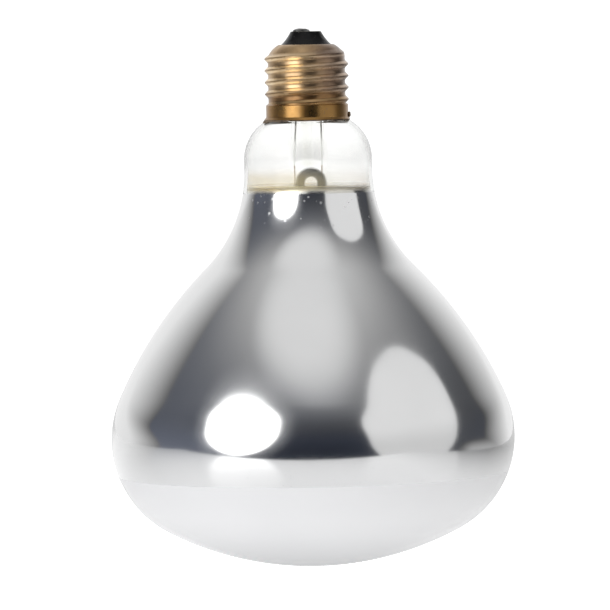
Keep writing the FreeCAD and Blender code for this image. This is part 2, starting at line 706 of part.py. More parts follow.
os.makedirs("parts", exist_ok=True)
for item in sub_parts:
    item.Shape.exportStep(f"parts/{item.Label}.step")
    print(f"{item.Label}: {len(item.Shape.Solids)} solid, {item.Shape.Volume:.1f} mm3")
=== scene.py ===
# %% [markdown]
# # An infrared heat lamp, dressed in Blender
# The construction gives the lamp's solids in metres: a blown bulb, a screw cap and the glass mount inside.
# This lesson puts finer pieces and real finishes on that frame. The lamp stands on its domed face,
# +Z runs up its axis to the cap, and the camera looks along +Y.

# %% Load the frame
import bpy
import math
from mathutils import Matrix, Vector, noise


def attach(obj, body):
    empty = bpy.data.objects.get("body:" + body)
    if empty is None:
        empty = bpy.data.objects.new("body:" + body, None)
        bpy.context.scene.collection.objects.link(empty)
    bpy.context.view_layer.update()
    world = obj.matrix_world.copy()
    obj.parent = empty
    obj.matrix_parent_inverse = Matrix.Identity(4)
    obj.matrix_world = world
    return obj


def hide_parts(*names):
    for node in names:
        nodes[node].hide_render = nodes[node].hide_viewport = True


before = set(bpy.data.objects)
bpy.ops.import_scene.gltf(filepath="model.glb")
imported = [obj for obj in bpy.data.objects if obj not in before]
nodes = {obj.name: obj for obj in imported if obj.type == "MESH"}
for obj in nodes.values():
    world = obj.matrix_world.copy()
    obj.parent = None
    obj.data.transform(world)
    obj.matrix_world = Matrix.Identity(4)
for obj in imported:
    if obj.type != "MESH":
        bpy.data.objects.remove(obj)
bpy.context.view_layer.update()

# %% [markdown]
# ## Turning on the lathe
# Almost every piece of a lamp is round, as glass and cap are both made on turning machines. In Blender
# such a piece starts as one vertex that is led along its half section and then spun round the axis.
# A vertex can be pushed in a straight line with Extrude, or swung round a point with Spin, so tangent
# arcs come out exact and no coordinates have to be worked out by hand.

# %% Lathe helpers
def start_section(name, x, z):
    """A new object in edit mode that holds one selected vertex."""
    bpy.ops.object.select_all(action="DESELECT")
    bpy.ops.mesh.primitive_plane_add(size=0.001)
    piece = bpy.context.object
    piece.name = name
    piece.data.name = name
    bpy.ops.object.mode_set(mode="EDIT")
    bpy.ops.mesh.merge(type="CENTER")
    bpy.ops.transform.translate(value=(x, 0, z))
    return piece


def go(x, z, steps=1):
    """Leads the section on in a straight line."""
    for _ in range(steps):
        bpy.ops.mesh.extrude_region_move(TRANSFORM_OT_translate={"value": (x / steps, 0, z / steps)})


def swing(centre, degrees, steps):
    """Leads the section on round a centre; positive degrees turn to the left."""
    bpy.ops.mesh.spin(steps=steps, angle=math.radians(degrees),
                      center=(centre[0], 0, centre[1]), axis=(0, 1, 0))


def bend_to(start, end, radius, steps):
    """Leads the section from start to end on an arc; a negative radius bends it to the right."""
    half = (Vector(end) - Vector(start)) / 2
    reach = math.sqrt(radius ** 2 - half.length_squared)
    aside = Vector((-half.y, half.x)).normalized() * math.copysign(reach, radius)
    swing(Vector(start) + half + aside, 2 * math.degrees(math.asin(half.length / radius)), steps)


def turn_round(piece, steps):
    """Spins the finished section once round the lamp's axis and closes the seam."""
    bpy.ops.mesh.select_all(action="SELECT")
    bpy.ops.mesh.remove_doubles(threshold=1e-6)
    bpy.ops.mesh.spin(steps=steps, angle=2 * math.pi, center=(0, 0, 0), axis=(0, 0, 1))
    bpy.ops.mesh.select_all(action="SELECT")
    bpy.ops.mesh.remove_doubles(threshold=1e-6)
    bpy.ops.mesh.normals_make_consistent(inside=False)
    bpy.ops.object.mode_set(mode="OBJECT")
    bpy.ops.object.shade_smooth_by_angle(angle=math.radians(40))
    print(f"{piece.name}: {len(piece.data.polygons)} faces")


def place(piece, slot, *replaced):
    """Fixes a piece to the lamp and hides the nodes that it stands for; slot is not used."""
    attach(piece, "root")
    if replaced:
        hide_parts(*replaced)


# %% [markdown]
# ## Effects that several finishes share
# Glass, brass and wire all carry the same few traces of use: specks of dust, smudges from hands, stains
# that gather in one zone. Each trace is a node group that puts out a mask or a height, so every material
# can mix it at its own scale. All of them read Object coordinates, so nothing depends on an unwrap.

# %% Node helpers
def put(tree, kind, sockets=None, **settings):
    """Adds a shader node; sockets takes values or other nodes' outputs, settings its own options."""
    node = tree.nodes.new("ShaderNode" + kind)
    for name, value in settings.items():
        setattr(node, name, value)
    for key, value in (sockets or {}).items():
        if isinstance(value, bpy.types.NodeSocket):
            tree.links.new(value, node.inputs[key])
        else:
            node.inputs[key].default_value = value
    return node


def feed(socket, output):
    """Links a node's output to a socket of the same tree."""
    output.id_data.links.new(output, socket)


def calc(operation, *values, **settings):
    """A sum, product or other operation, in the tree that its inputs come from."""
    tree = next(value.id_data for value in values if isinstance(value, bpy.types.NodeSocket))
    return put(tree, "Math", dict(enumerate(values)), operation=operation, **settings).outputs[0]


def line(value, slope, start):
    """A straight line: the slope times a value, plus a start."""
    return calc("MULTIPLY_ADD", value, slope, start)


def smooth_step(value, low, high):
    """0 at low, 1 at high, smooth between."""
    node = put(value.id_data, "MapRange", {"Value": value, "From Min": low, "From Max": high},
               interpolation_type="SMOOTHSTEP")
    return node.outputs["Result"]


def object_spot(tree):
    """Where a point lies in the frame of its own object."""
    return put(tree, "TexCoord").outputs["Object"]


def axes_of(spot):
    """The three coordinates of a point or a direction."""
    return put(spot.id_data, "SeparateXYZ", {"Vector": spot}).outputs


# %% Helpers for the shared effects
def effect(name, inputs, outputs):
    """An empty node group with named inputs and outputs."""
    tree = bpy.data.node_groups.new(name, "ShaderNodeTree")
    for label, value in inputs.items():
        tree.interface.new_socket(label, in_out="INPUT", socket_type="NodeSocketFloat").default_value = value
    for label in outputs:
        tree.interface.new_socket(label, in_out="OUTPUT", socket_type="NodeSocketFloat")
    print("effect:", name)
    return tree, tree.nodes.new("NodeGroupInput").outputs, tree.nodes.new("NodeGroupOutput").inputs


def use(tree, name, **values):
    """Places one of the effects in a material and returns its outputs."""
    node = tree.nodes.new("ShaderNodeGroup")
    node.node_tree = bpy.data.node_groups[name]
    for label, value in values.items():
        node.inputs[label].default_value = value
    return node.outputs


# %% Specks, smudges and ripples
SPECK_RARITY, GRAIN_SCALE = 5.0, 2600.0

tree, given, result = effect("dust_specks", {"Scale": 600.0, "Size": 0.3}, ["Mask"])
cells = put(tree, "TexVoronoi", {"Vector": object_spot(tree), "Scale": given["Scale"]}).outputs
chance = put(tree, "SeparateColor", {"Color": cells["Color"]}).outputs["Red"]
reach = calc("MULTIPLY", calc("POWER", chance, SPECK_RARITY), given["Size"])
feed(result["Mask"], smooth_step(cells["Distance"], reach, 0.0))

tree, given, result = effect("hand_smudges", {"Scale": 20.0, "Spread": 0.2}, ["Mask"])
cloud = put(tree, "TexNoise", {"Vector": object_spot(tree), "Scale": given["Scale"], "Detail": 5.0,
                               "Distortion": 0.6}).outputs["Fac"]
low = calc("SUBTRACT", 0.5, given["Spread"])
high = calc("ADD", 0.5, given["Spread"])
feed(result["Mask"], smooth_step(cloud, low, high))

tree, given, result = effect("blown_ripples", {"Scale": 18.0, "Fine": 0.1}, ["Height"])
spot = object_spot(tree)
swell = put(tree, "TexNoise", {"Vector": spot, "Scale": given["Scale"], "Detail": 1.0}).outputs["Fac"]
grain = put(tree, "TexNoise", {"Vector": spot, "Scale": GRAIN_SCALE, "Detail": 2.0}).outputs["Fac"]
feed(result["Height"], line(grain, given["Fine"], swell))

# %% Bands, arch and drawn lines
for name, axis in (("height_band", "Z"), ("side_band", "X")):
    tree, given, result = effect(name, {"Low": 0.0, "High": 0.01, "Fray": 0.001, "Scale": 120.0}, ["Mask"])
    spot = object_spot(tree)
    ragged = put(tree, "TexNoise", {"Vector": spot, "Scale": given["Scale"], "Detail": 4.0}).outputs["Fac"]
    frayed = line(calc("SUBTRACT", ragged, 0.5), given["Fray"], axes_of(spot)[axis])
    feed(result["Mask"], smooth_step(frayed, given["Low"], given["High"]))

ARCH_SOFTNESS, CORE_SOFTNESS = 0.8, 0.7
arch_sizes = {"Across": 0.0, "Up": 0.12, "Inner": 0.002, "Outer": 0.004}
tree, given, result = effect("dark_arch_band", arch_sizes, ["Mask"])
axes = axes_of(object_spot(tree))
above = calc("MAXIMUM", calc("SUBTRACT", axes["Z"], given["Up"]), 0.0)
flat = put(tree, "CombineXYZ", {"X": calc("SUBTRACT", axes["X"], given["Across"]), "Z": above}).outputs[0]
away = put(tree, "VectorMath", {0: flat}, operation="LENGTH").outputs["Value"]
inside = smooth_step(away, given["Outer"], calc("MULTIPLY", given["Outer"], ARCH_SOFTNESS))
outside = smooth_step(away, calc("MULTIPLY", given["Inner"], CORE_SOFTNESS), given["Inner"])
feed(result["Mask"], calc("MULTIPLY", inside, outside))

tree, given, result = effect("drawn_lines", {"Around": 60.0, "Along": 4000.0}, ["Value"])
stretch = put(tree, "CombineXYZ", {"X": given["Around"], "Y": given["Around"], "Z": given["Along"]})
drawn = put(tree, "VectorMath", {0: object_spot(tree), 1: stretch.outputs[0]}, operation="MULTIPLY")
lines = put(tree, "TexNoise", {"Vector": drawn.outputs[0], "Scale": 1.0, "Detail": 3.0})
feed(result["Value"], lines.outputs["Fac"])

# %% [markdown]
# ## Materials
# A material here is one Principled shader: what is the same all over sits on its own sockets, and what
# changes over the surface comes in through the effects. The helpers keep those two things apart.

# %% Material helpers
def new_material(name, **constants):
    """A Principled material with its constant sockets set."""
    material = bpy.data.materials.new(name)
    material.use_nodes = True
    shader = material.node_tree.nodes["Principled BSDF"]
    for label, value in constants.items():
        shader.inputs[label.replace("_", " ")].default_value = value
    print("material:", name)
    return material, material.node_tree, shader.inputs


def blend_colours(mask, first, second):
    """A colour that goes from first to second with the mask."""
    mix = put(mask.id_data, "Mix", {0: mask}, data_type="RGBA")
    for socket, colour in ((mix.inputs[6], first), (mix.inputs[7], second)):
        if isinstance(colour, bpy.types.NodeSocket):
            feed(socket, colour)
        else:
            socket.default_value = (*colour, 1.0)
    return mix.outputs[2]


def blend_values(mask, first, second):
    """A number that goes from first to second with the mask."""
    mix = put(mask.id_data, "MapRange", {"Value": mask, "To Min": first, "To Max": second})
    return mix.outputs["Result"]


def bump(height, strength, distance):
    """A normal tilted by a height."""
    node = put(height.id_data, "Bump", {"Height": height, "Strength": strength, "Distance": distance})
    return node.outputs["Normal"]


def repaint(material, label, mask, colour):
    """Lays another colour over what already feeds one of a material's sockets."""
    socket = material.node_tree.nodes["Principled BSDF"].inputs[label]
    feed(socket, blend_colours(mask, socket.links[0].from_socket, colour))


# %% [markdown]
# ### The bulb's three finishes
# The bulb is one piece of glass with three zones. Its neck is bare and clear. The flank carries a thin
# metal mirror on the inside, seen through the glass, so it reads as polished metal under a clear coat,
# with dull pinholes where it thins out near its upper edge.
# The face is etched inside to a white frost, again under smooth glass. Its foot is painted darker, a
# painted shade where the bulb stands.

# %% Clear glass of the neck
clear_glass, tree, sockets = new_material(
    "clear_neck_glass", Transmission_Weight=1.0, IOR=1.17, Metallic=0.0)
smudges = use(tree, "hand_smudges", Scale=45.0, Spread=0.18)["Mask"]
fog_top = use(tree, "height_band", Low=0.1365, High=0.1290, Fray=0.0030, Scale=60.0)["Mask"]
fog_foot = use(tree, "height_band", Low=0.1205, High=0.1265, Fray=0.0030, Scale=60.0)["Mask"]
fog = calc("MULTIPLY", fog_top, fog_foot)
film = blend_values(smudges, 0.0, 0.02)
feed(sockets["Roughness"], line(fog, 0.15, film))
feed(sockets["Base Color"], blend_colours(smudges, (0.985, 0.99, 0.985), (0.97, 0.97, 0.962)))
ripples = use(tree, "blown_ripples", Scale=70.0, Fine=0.0)["Height"]
feed(sockets["Normal"], bump(ripples, 0.08, 0.001))

# %% Mirrored flank
mirror, tree, sockets = new_material(
    "mirrored_flank", Metallic=1.0, Coat_Weight=1.0, Coat_Roughness=0.02, Coat_IOR=1.5)
clouds = use(tree, "hand_smudges", Scale=16.0, Spread=0.3)["Mask"]
specks = use(tree, "dust_specks", Scale=1300.0, Size=0.35)["Mask"]
tone = blend_colours(clouds, (0.732, 0.735, 0.738), (0.798, 0.80, 0.802))
feed(sockets["Base Color"], blend_colours(specks, tone, (0.60, 0.60, 0.605)))
film = use(tree, "hand_smudges", Scale=60.0, Spread=0.25)["Mask"]
pinholes = use(tree, "dust_specks", Scale=820.0, Size=0.62)["Mask"]
worn_edge = use(tree, "height_band", Low=0.0990, High=0.1135, Fray=0.006, Scale=90.0)["Mask"]
pitted = calc("MULTIPLY", pinholes, worn_edge)
polish = blend_values(film, 0.10, 0.14)
feed(sockets["Roughness"], line(pitted, 0.45, polish))
ripples = use(tree, "blown_ripples", Scale=26.0, Fine=0.004)["Height"]
feed(sockets["Normal"], bump(ripples, 0.12, 0.001))

# %% Frosted face
frost, tree, sockets = new_material(
    "frosted_face", Metallic=0.0, Coat_Weight=0.6, Coat_Roughness=0.08, Coat_IOR=1.5)
clouds = use(tree, "hand_smudges", Scale=22.0, Spread=0.3)["Mask"]
# The frost is painted darker towards the foot of the face: painted shade where the bulb stands.
foot_shade_fade = use(tree, "height_band", Low=-0.006, High=0.020, Fray=0.002, Scale=30.0)["Mask"]
painted_foot_shade = blend_colours(clouds, (0.62, 0.625, 0.63), (0.64, 0.645, 0.65))
full = blend_colours(clouds, (0.955, 0.955, 0.96), (0.975, 0.975, 0.98))
feed(sockets["Base Color"], blend_colours(foot_shade_fade, painted_foot_shade, full))
feed(sockets["Roughness"], blend_values(clouds, 0.42, 0.52))
grain = use(tree, "blown_ripples", Scale=30.0, Fine=0.06)["Height"]
feed(sockets["Normal"], bump(grain, 0.1, 0.001))

# %% [markdown]
# ## The blown bulb
# The real bulb is blown in a mould as one wall of glass, about a millimetre thick, and its outline is a
# chain of arcs that run smoothly into each other: face, corner, flank, waist, shoulder and throat. The
# section goes up the outside and, with the same centres and the turns reversed, back down the inside.
# That gives an even wall with no modifier.

# %% Centres of the bulb's arcs
DOME_R, CORNER_R, FLANK_R, WAIST_R = 0.097, 0.032, 0.130, 0.043
BULB_R, NECK_R, THROAT_R, WALL = 0.0625, 0.0198, 0.011, 0.001
WAIST_Z, NECK_RISE, THROAT_RISE = 0.123, 0.003, 0.0108
SHOULDER_R, FILLET_R = 0.0139, 0.002

dome_turn = math.degrees(math.asin((BULB_R - CORNER_R) / (DOME_R - CORNER_R)))
dome_centre = Vector((0, DOME_R))
corner_centre = Vector((BULB_R - CORNER_R, DOME_R - (DOME_R - CORNER_R) * math.cos(math.radians(dome_turn))))
waist_centre = Vector((NECK_R + WAIST_R, WAIST_Z))
between = waist_centre - corner_centre
near, far = FLANK_R - CORNER_R, FLANK_R + WAIST_R
along = (between.length ** 2 + near ** 2 - far ** 2) / (2 * between.length)
aside = math.sqrt(near ** 2 - along ** 2)
heading = between.normalized()
flank_centre = corner_centre + heading * along + Vector((-heading.y, heading.x)) * aside

flank_from = math.degrees(math.atan2(*reversed(corner_centre - flank_centre)))
flank_to = math.degrees(math.atan2(*reversed(waist_centre - flank_centre)))
shoulder_centre = Vector((NECK_R - SHOULDER_R, WAIST_Z + NECK_RISE))
fillet_drop = THROAT_R + FILLET_R - shoulder_centre.x
fillet_centre = Vector((THROAT_R + FILLET_R,
                        shoulder_centre.y + math.sqrt((SHOULDER_R + FILLET_R) ** 2 - fillet_drop ** 2)))
shoulder_turn = math.degrees(math.atan2(*reversed(fillet_centre - shoulder_centre)))
print(f"throat starts at {fillet_centre.y:.5f} m, flank turns {flank_to - flank_from:.1f} degrees")

# %% Lead the section up the outside and back down the inside
arcs = [(dome_centre, dome_turn, 22), (corner_centre, 90 - dome_turn + flank_from, 22),
        (flank_centre, flank_to - flank_from, 28), (waist_centre, -flank_to, 24)]
bulb = start_section("blown_bulb", 0, 0)
for centre, degrees, steps in arcs:
    swing(centre, degrees, steps)
go(0, NECK_RISE)
swing(shoulder_centre, shoulder_turn, 16)
swing(fillet_centre, -shoulder_turn, 6)
go(0, THROAT_RISE, 3)
go(-WALL, 0)
go(0, -THROAT_RISE, 3)
swing(fillet_centre, shoulder_turn, 6)
swing(shoulder_centre, -shoulder_turn, 16)
go(0, -NECK_RISE)
for centre, degrees, steps in reversed(arcs):
    swing(centre, -degrees, steps)
turn_round(bulb, 192)

# %% Mark off the mirror and the frost
FROST_TOP, MIRROR_TOP = 0.0289, 0.1157
bpy.ops.object.mode_set(mode="EDIT")
for ring in (FROST_TOP, MIRROR_TOP):
    bpy.ops.mesh.select_all(action="SELECT")
    bpy.ops.mesh.bisect(plane_co=(0, 0, ring), plane_no=(0, 0, 1))
bpy.ops.object.mode_set(mode="OBJECT")
for finish in (clear_glass, mirror, frost):
    bulb.data.materials.append(finish)
for face in bulb.data.polygons:
    face.material_index = 2 if face.center.z < FROST_TOP else 1 if face.center.z < MIRROR_TOP else 0
place(bulb, "bulb_glass", "glass_envelope")
print("bulb zones:", [sum(f.material_index == i for f in bulb.data.polygons) for i in range(3)])

# %% [markdown]
# ## Haze inside the neck
# The mirror is metal vapour that settled inside the bulb, so it doesn't end in a line: it thins out up
# the neck into a yellow-brown haze with one darker ring, and the glass above stays faintly milky. A
# sleeve just inside the glass carries all of that. Its Alpha falls off with height in ragged bands.

# %% Haze finish
haze, tree, sockets = new_material("mirror_haze")
rim = use(tree, "height_band", Low=0.1180, High=0.1157, Fray=0.0012, Scale=80.0)["Mask"]
tarnish = use(tree, "height_band", Low=0.1250, High=0.1198, Fray=0.0035, Scale=45.0)["Mask"]
side = use(tree, "side_band", Low=-0.0040, High=0.0120, Fray=0.0060, Scale=60.0)["Mask"]
tarnish = calc("MULTIPLY", tarnish, blend_values(side, 1.0, 0.5))
milk = use(tree, "height_band", Low=0.1350, High=0.1290, Fray=0.0030, Scale=60.0)["Mask"]
ring_foot = use(tree, "height_band", Low=0.11765, High=0.11785, Fray=0.0003, Scale=70.0)["Mask"]
ring_head = use(tree, "height_band", Low=0.1182, High=0.1180, Fray=0.0003, Scale=70.0)["Mask"]
patches = use(tree, "hand_smudges", Scale=38.0, Spread=0.16)["Mask"]
tan = blend_colours(patches, (0.80, 0.58, 0.24), (0.72, 0.62, 0.36))
film = blend_colours(tarnish, (0.95, 0.945, 0.93), tan)
feed(sockets["Base Color"], blend_colours(rim, film, (0.70, 0.69, 0.66)))
ring = calc("MULTIPLY", ring_foot, ring_head)
layers = calc("MULTIPLY", milk, 0.06)
for mask, strength in ((tarnish, 0.28), (ring, 0.18), (rim, 0.95)):
    layers = calc("MULTIPLY_ADD", mask, strength, layers, use_clamp=True)
feed(sockets["Alpha"], layers)
feed(sockets["Metallic"], rim)
feed(sockets["Roughness"], blend_values(rim, 0.5, 0.13))

# %% Sleeve for the haze
SLEEVE_GAP, SLEEVE_RISE, SLEEVE_DROP = 0.00005, 52.0, 13.5
sleeve_reach = SHOULDER_R - WALL - SLEEVE_GAP
sleeve_rise = math.radians(SLEEVE_RISE)
sleeve = start_section("mirror_edge", shoulder_centre.x + sleeve_reach * math.cos(sleeve_rise),
                       shoulder_centre.y + sleeve_reach * math.sin(sleeve_rise))
swing(shoulder_centre, -SLEEVE_RISE, 16)
go(0, -NECK_RISE, 4)
swing(waist_centre, SLEEVE_DROP, 24)
turn_round(sleeve, 160)
sleeve.data.materials.append(haze)
place(sleeve, "bulb_glass")

# %% [markdown]
# ## Brass of the cap
# The cap is pressed from thin brass sheet. The skirt was handled and polished and stays golden, the groove
# above it is bronze, and the thread and crown have gone dull: yellow on the left, a darker pinkish brown
# on the right, which is tarnish with painted shade on the side away from the softbox. Height and side
# decide which tone shows, noise breaks it up, and fine lines run round the sheet. The flanks of the thread
# are painted brighter beside each crest, rubbing with a painted highlight, found by how far a point lies
# from the helix.

# %% Where the thread is rubbed and painted with a highlight
THREAD_Z, PITCH = 0.144377, 0.003629
RAGGED, CREST_SIDE, GROOVE_SIDE = 0.0004, (0.0002, 0.00045), (0.00110, 0.00080)


def flank_wear_and_highlight(tree):
    """A mask along the flanks beside each crest: rubbing in the lampholder, and a painted highlight."""
    spot = object_spot(tree)
    axes = axes_of(spot)
    angle = calc("ARCTAN2", axes["Y"], axes["X"])
    ragged = put(tree, "TexNoise", {"Vector": spot, "Scale": 420.0, "Detail": 3.0}).outputs["Fac"]
    climb = line(ragged, RAGGED, line(angle, -PITCH / (2 * math.pi), axes["Z"]))
    off = calc("PINGPONG", calc("SUBTRACT", climb, THREAD_Z + RAGGED / 2), PITCH / 2)
    mask = use(tree, "height_band", Low=0.1592, High=0.1572, Fray=0.001, Scale=160.0)["Mask"]
    for start, full in (CREST_SIDE, GROOVE_SIDE):
        mask = calc("MULTIPLY", mask, smooth_step(off, start, full))
    return mask


# %% Cap brass
brass, tree, sockets = new_material("cap_brass", Metallic=1.0, Coat_Weight=0.25, Coat_Roughness=0.16)
groove = use(tree, "height_band", Low=0.1424, High=0.1438, Fray=0.0012, Scale=160.0)["Mask"]
dull = use(tree, "height_band", Low=0.1456, High=0.1480, Fray=0.0025, Scale=160.0)["Mask"]
side = use(tree, "side_band", Low=-0.0030, High=0.0075, Fray=0.0070, Scale=150.0)["Mask"]
patches = use(tree, "hand_smudges", Scale=190.0, Spread=0.2)["Mask"]
specks = use(tree, "dust_specks", Scale=1500.0, Size=0.55)["Mask"]
lines = use(tree, "drawn_lines", Around=40.0, Along=5200.0)["Value"]
gold = blend_colours(patches, (0.335, 0.186, 0.057), (0.28, 0.146, 0.041))
bronze = blend_colours(patches, (0.32, 0.180, 0.074), (0.19, 0.100, 0.039))
# Yellow on the left, a darker pinkish brown on the right: tarnish with painted shade away from the softbox.
yellow = blend_colours(patches, (0.56, 0.385, 0.208), (0.42, 0.275, 0.142))
pink_and_shaded = blend_colours(patches, (0.27, 0.180, 0.118), (0.18, 0.115, 0.075))
tarnish_and_shade = blend_colours(dull, bronze, blend_colours(side, yellow, pink_and_shaded))
# Flanks beside each crest are painted lighter: rubbing and a painted highlight, with painted shade on the
# right.
bright = blend_colours(side, (0.92, 0.72, 0.45), (0.56, 0.415, 0.300))
rubbed_and_highlit = blend_colours(dull, (0.48, 0.31, 0.145), bright)
thread = blend_colours(flank_wear_and_highlight(tree), tarnish_and_shade, rubbed_and_highlit)
sheet = blend_colours(groove, gold, thread)
feed(sockets["Base Color"], blend_colours(specks, sheet, (0.20, 0.13, 0.08)))
polish = blend_values(dull, 0.26, 0.28)
feed(sockets["Roughness"], line(patches, 0.10, polish))
feed(sockets["Normal"], bump(lines, 0.14, 0.00006))

# %% [markdown]
# ## The rolled cap shell
# The shell is drawn as a plain cup and its thread is then rolled into the wall. The cup is turned here
# with many fine rings in the thread's zone, and each vertex there is pushed outwards by how near it lies
# to the helix: rounded crests, straight flanks, wide valleys, and soft run-outs at both ends. A swept
# thread would leave hard ends and a seam, which a rolled one doesn't have.

# %% Turn the cup
RIM_Z, LIP_Z, SKIRT_TOP = 0.138327, 0.139127, 0.142727
ROOT_FOOT, CROWN_FOOT, CROWN_Z = 0.143377, 0.157679, 0.161429
LIP_R, SKIRT_R, ROOT_R, CROWN_R, CROWN_HOLE = 0.0133, 0.0127, 0.0119, 0.00845, 0.00775
SHEET, CROWN_BEND, INNER_EASE, CROWN_EASE = 0.0003, 0.007, 0.00015, 0.0002

cap = start_section("cap_shell_rolled", LIP_R, RIM_Z)
go(SKIRT_R - LIP_R, LIP_Z - RIM_Z, 4)
go(0, SKIRT_TOP - LIP_Z, 28)
go(ROOT_R - SKIRT_R, ROOT_FOOT - SKIRT_TOP, 5)
go(0, CROWN_FOOT - ROOT_FOOT, 112)
bend_to((ROOT_R, CROWN_FOOT), (CROWN_R, CROWN_Z), CROWN_BEND, 22)
go(CROWN_HOLE - CROWN_R, 0, 3)
go(0, -SHEET)
go(CROWN_R - CROWN_HOLE - INNER_EASE, 0)
go(ROOT_R - SHEET - CROWN_R + INNER_EASE, CROWN_FOOT - CROWN_EASE - CROWN_Z + SHEET, 6)
go(0, ROOT_FOOT - INNER_EASE - CROWN_FOOT + CROWN_EASE, 4)
go(SKIRT_R - ROOT_R, SKIRT_TOP - ROOT_FOOT)
go(0, LIP_Z - SKIRT_TOP + INNER_EASE)
go(LIP_R - SKIRT_R, RIM_Z - LIP_Z)
go(SHEET, 0)
turn_round(cap, 240)

# %% Roll the thread
DEPTH, CREST_REACH, CREST_ROUND, FOOT_ROUND = 0.00110, 0.00108, 0.00014, 0.12
RUN_IN, RUN_OUT, TOLERANCE, SKIRT_EDGE = (-0.6, 0.05), (3.7, 4.2), 0.0001, 0.0004


def ease(low, high, value):
    """0 below low, 1 above high, smooth between."""
    t = min(max((value - low) / (high - low), 0), 1)
    return t * t * (3 - 2 * t)


def thread_push(point):
    """How far the rolled thread lifts a point of the wall."""
    round_share = math.atan2(point.y, point.x) % (2 * math.pi) / (2 * math.pi)
    turn = round((point.z - THREAD_Z) / PITCH - round_share) + round_share
    off = point.z - THREAD_Z - turn * PITCH
    share = ease(*RUN_IN, turn) * (1 - ease(*RUN_OUT, turn))
    flank = 1 - (math.hypot(off, CREST_ROUND) - CREST_ROUND) / CREST_REACH
    return DEPTH * share * 0.5 * (flank + math.hypot(flank, FOOT_ROUND))


rolled = 0
for vertex in cap.data.vertices:
    radius = vertex.co.xy.length
    chord = (ROOT_R - radius) / (ROOT_R - CROWN_R) * (CROWN_Z - CROWN_FOOT)
    on_crown = vertex.co.z > CROWN_FOOT + chord and radius > CROWN_R
    on_wall = radius > ROOT_R - TOLERANCE and vertex.co.z >= SKIRT_TOP - SKIRT_EDGE
    if not on_crown and not on_wall:
        continue
    wanted = max(radius, (ROOT_R if vertex.co.z < CROWN_FOOT else radius) + thread_push(vertex.co))
    vertex.co.xy *= wanted / radius
    rolled += 1
cap.data.materials.append(brass)
place(cap, "cap_brass", "cap_shell")
print("thread rolled into", rolled, "vertices")

# %% [markdown]
# ## Insulator, contact and solder
# Black glass is poured into the crown and holds the round contact plate on top. It is turned in one
# section: a flat foot in the crown, a scooped cone and a rim round the plate. This glass, the plate, the
# solder, the weld and the cement all show two tones in patches, so one function makes their finishes.

# %% Black glass
def patchy_finish(name, patches, tones, polish, grain, specks=None, **constants):
    """Two tones in patches, each with its own polish, over a fine grain.

    patches holds scale and spread, grain its scale, fineness, strength and depth, and specks, where the
    finish has them, their scale, size and tone.
    """
    material, tree, sockets = new_material(name, **constants)
    mask = use(tree, "hand_smudges", Scale=patches[0], Spread=patches[1])["Mask"]
    tone = blend_colours(mask, *tones)
    if specks:
        dust = use(tree, "dust_specks", Scale=specks[0], Size=specks[1])["Mask"]
        tone = blend_colours(dust, tone, specks[2])
    feed(sockets["Base Color"], tone)
    feed(sockets["Roughness"], blend_values(mask, *polish))
    height = use(tree, "blown_ripples", Scale=grain[0], Fine=grain[1])["Height"]
    feed(sockets["Normal"], bump(height, *grain[2:]))
    return material


black_glass = patchy_finish(
    "black_glass", patches=(260.0, 0.2), tones=((0.004, 0.004, 0.0047), (0.010, 0.0092, 0.0092)),
    polish=(0.10, 0.28), grain=(420.0, 0.03, 0.35, 0.0004), specks=(1400.0, 0.5, (0.12, 0.11, 0.10)),
    Metallic=0.0, IOR=1.52, Specular_IOR_Level=0.15)

# %% Turn the insulator
LEAD_HOLE, POUR_BASE, POUR_STEP, POUR_REACH = 0.0009, 0.156479, 0.0008, 0.0112
LEDGE_R, POUR_R, SCOOP_R, TOP_R, TOP_Z = 0.00805, 0.0077, 0.0145, 0.0047, 0.165429
PLATE_R, PLATE_SEAT, PLATE_PLAY = 0.0044, 0.164879, 0.00005

insulator = start_section("poured_insulator", LEAD_HOLE, POUR_BASE)
go(POUR_REACH - LEAD_HOLE, 0, 4)
go(0, POUR_STEP, 2)
go(LEDGE_R - POUR_REACH, CROWN_Z - SHEET - POUR_BASE - POUR_STEP, 5)
go(POUR_R - LEDGE_R, 0, 2)
go(0, SHEET)
bend_to((POUR_R, CROWN_Z), (TOP_R, TOP_Z), -SCOOP_R, 18)
go(PLATE_R + PLATE_PLAY - TOP_R, 0, 2)
go(0, PLATE_SEAT - TOP_Z)
go(LEAD_HOLE - PLATE_R - PLATE_PLAY, 0, 4)
go(0, POUR_BASE - PLATE_SEAT, 4)
turn_round(insulator, 128)
insulator.data.materials.append(black_glass)
place(insulator, "black_glass", "cap_insulator")

# %% [markdown]
# ### Contact plate and its solder
# The plate is a small dished disc of dull tinned brass. The lead ends there under a drop of solder, which
# set a little to one side: a ball made uneven with noise, as no two drops set alike, then flattened and
# cut off just under the plate's top. The weld bead at the cap's rim is shaped in the same way.

# %% Plate and solder finishes
plate_metal = patchy_finish(
    "tinned_contact", patches=(420.0, 0.2), tones=((0.30, 0.28, 0.24), (0.17, 0.155, 0.13)),
    polish=(0.32, 0.5), grain=(900.0, 0.2, 0.3, 0.0001), specks=(2200.0, 0.6, (0.06, 0.055, 0.05)),
    Metallic=1.0)
solder_metal = patchy_finish(
    "set_solder", patches=(520.0, 0.22), tones=((0.18, 0.18, 0.178), (0.10, 0.098, 0.094)),
    polish=(0.25, 0.45), grain=(1100.0, 0.15, 0.35, 0.0002), Metallic=1.0)

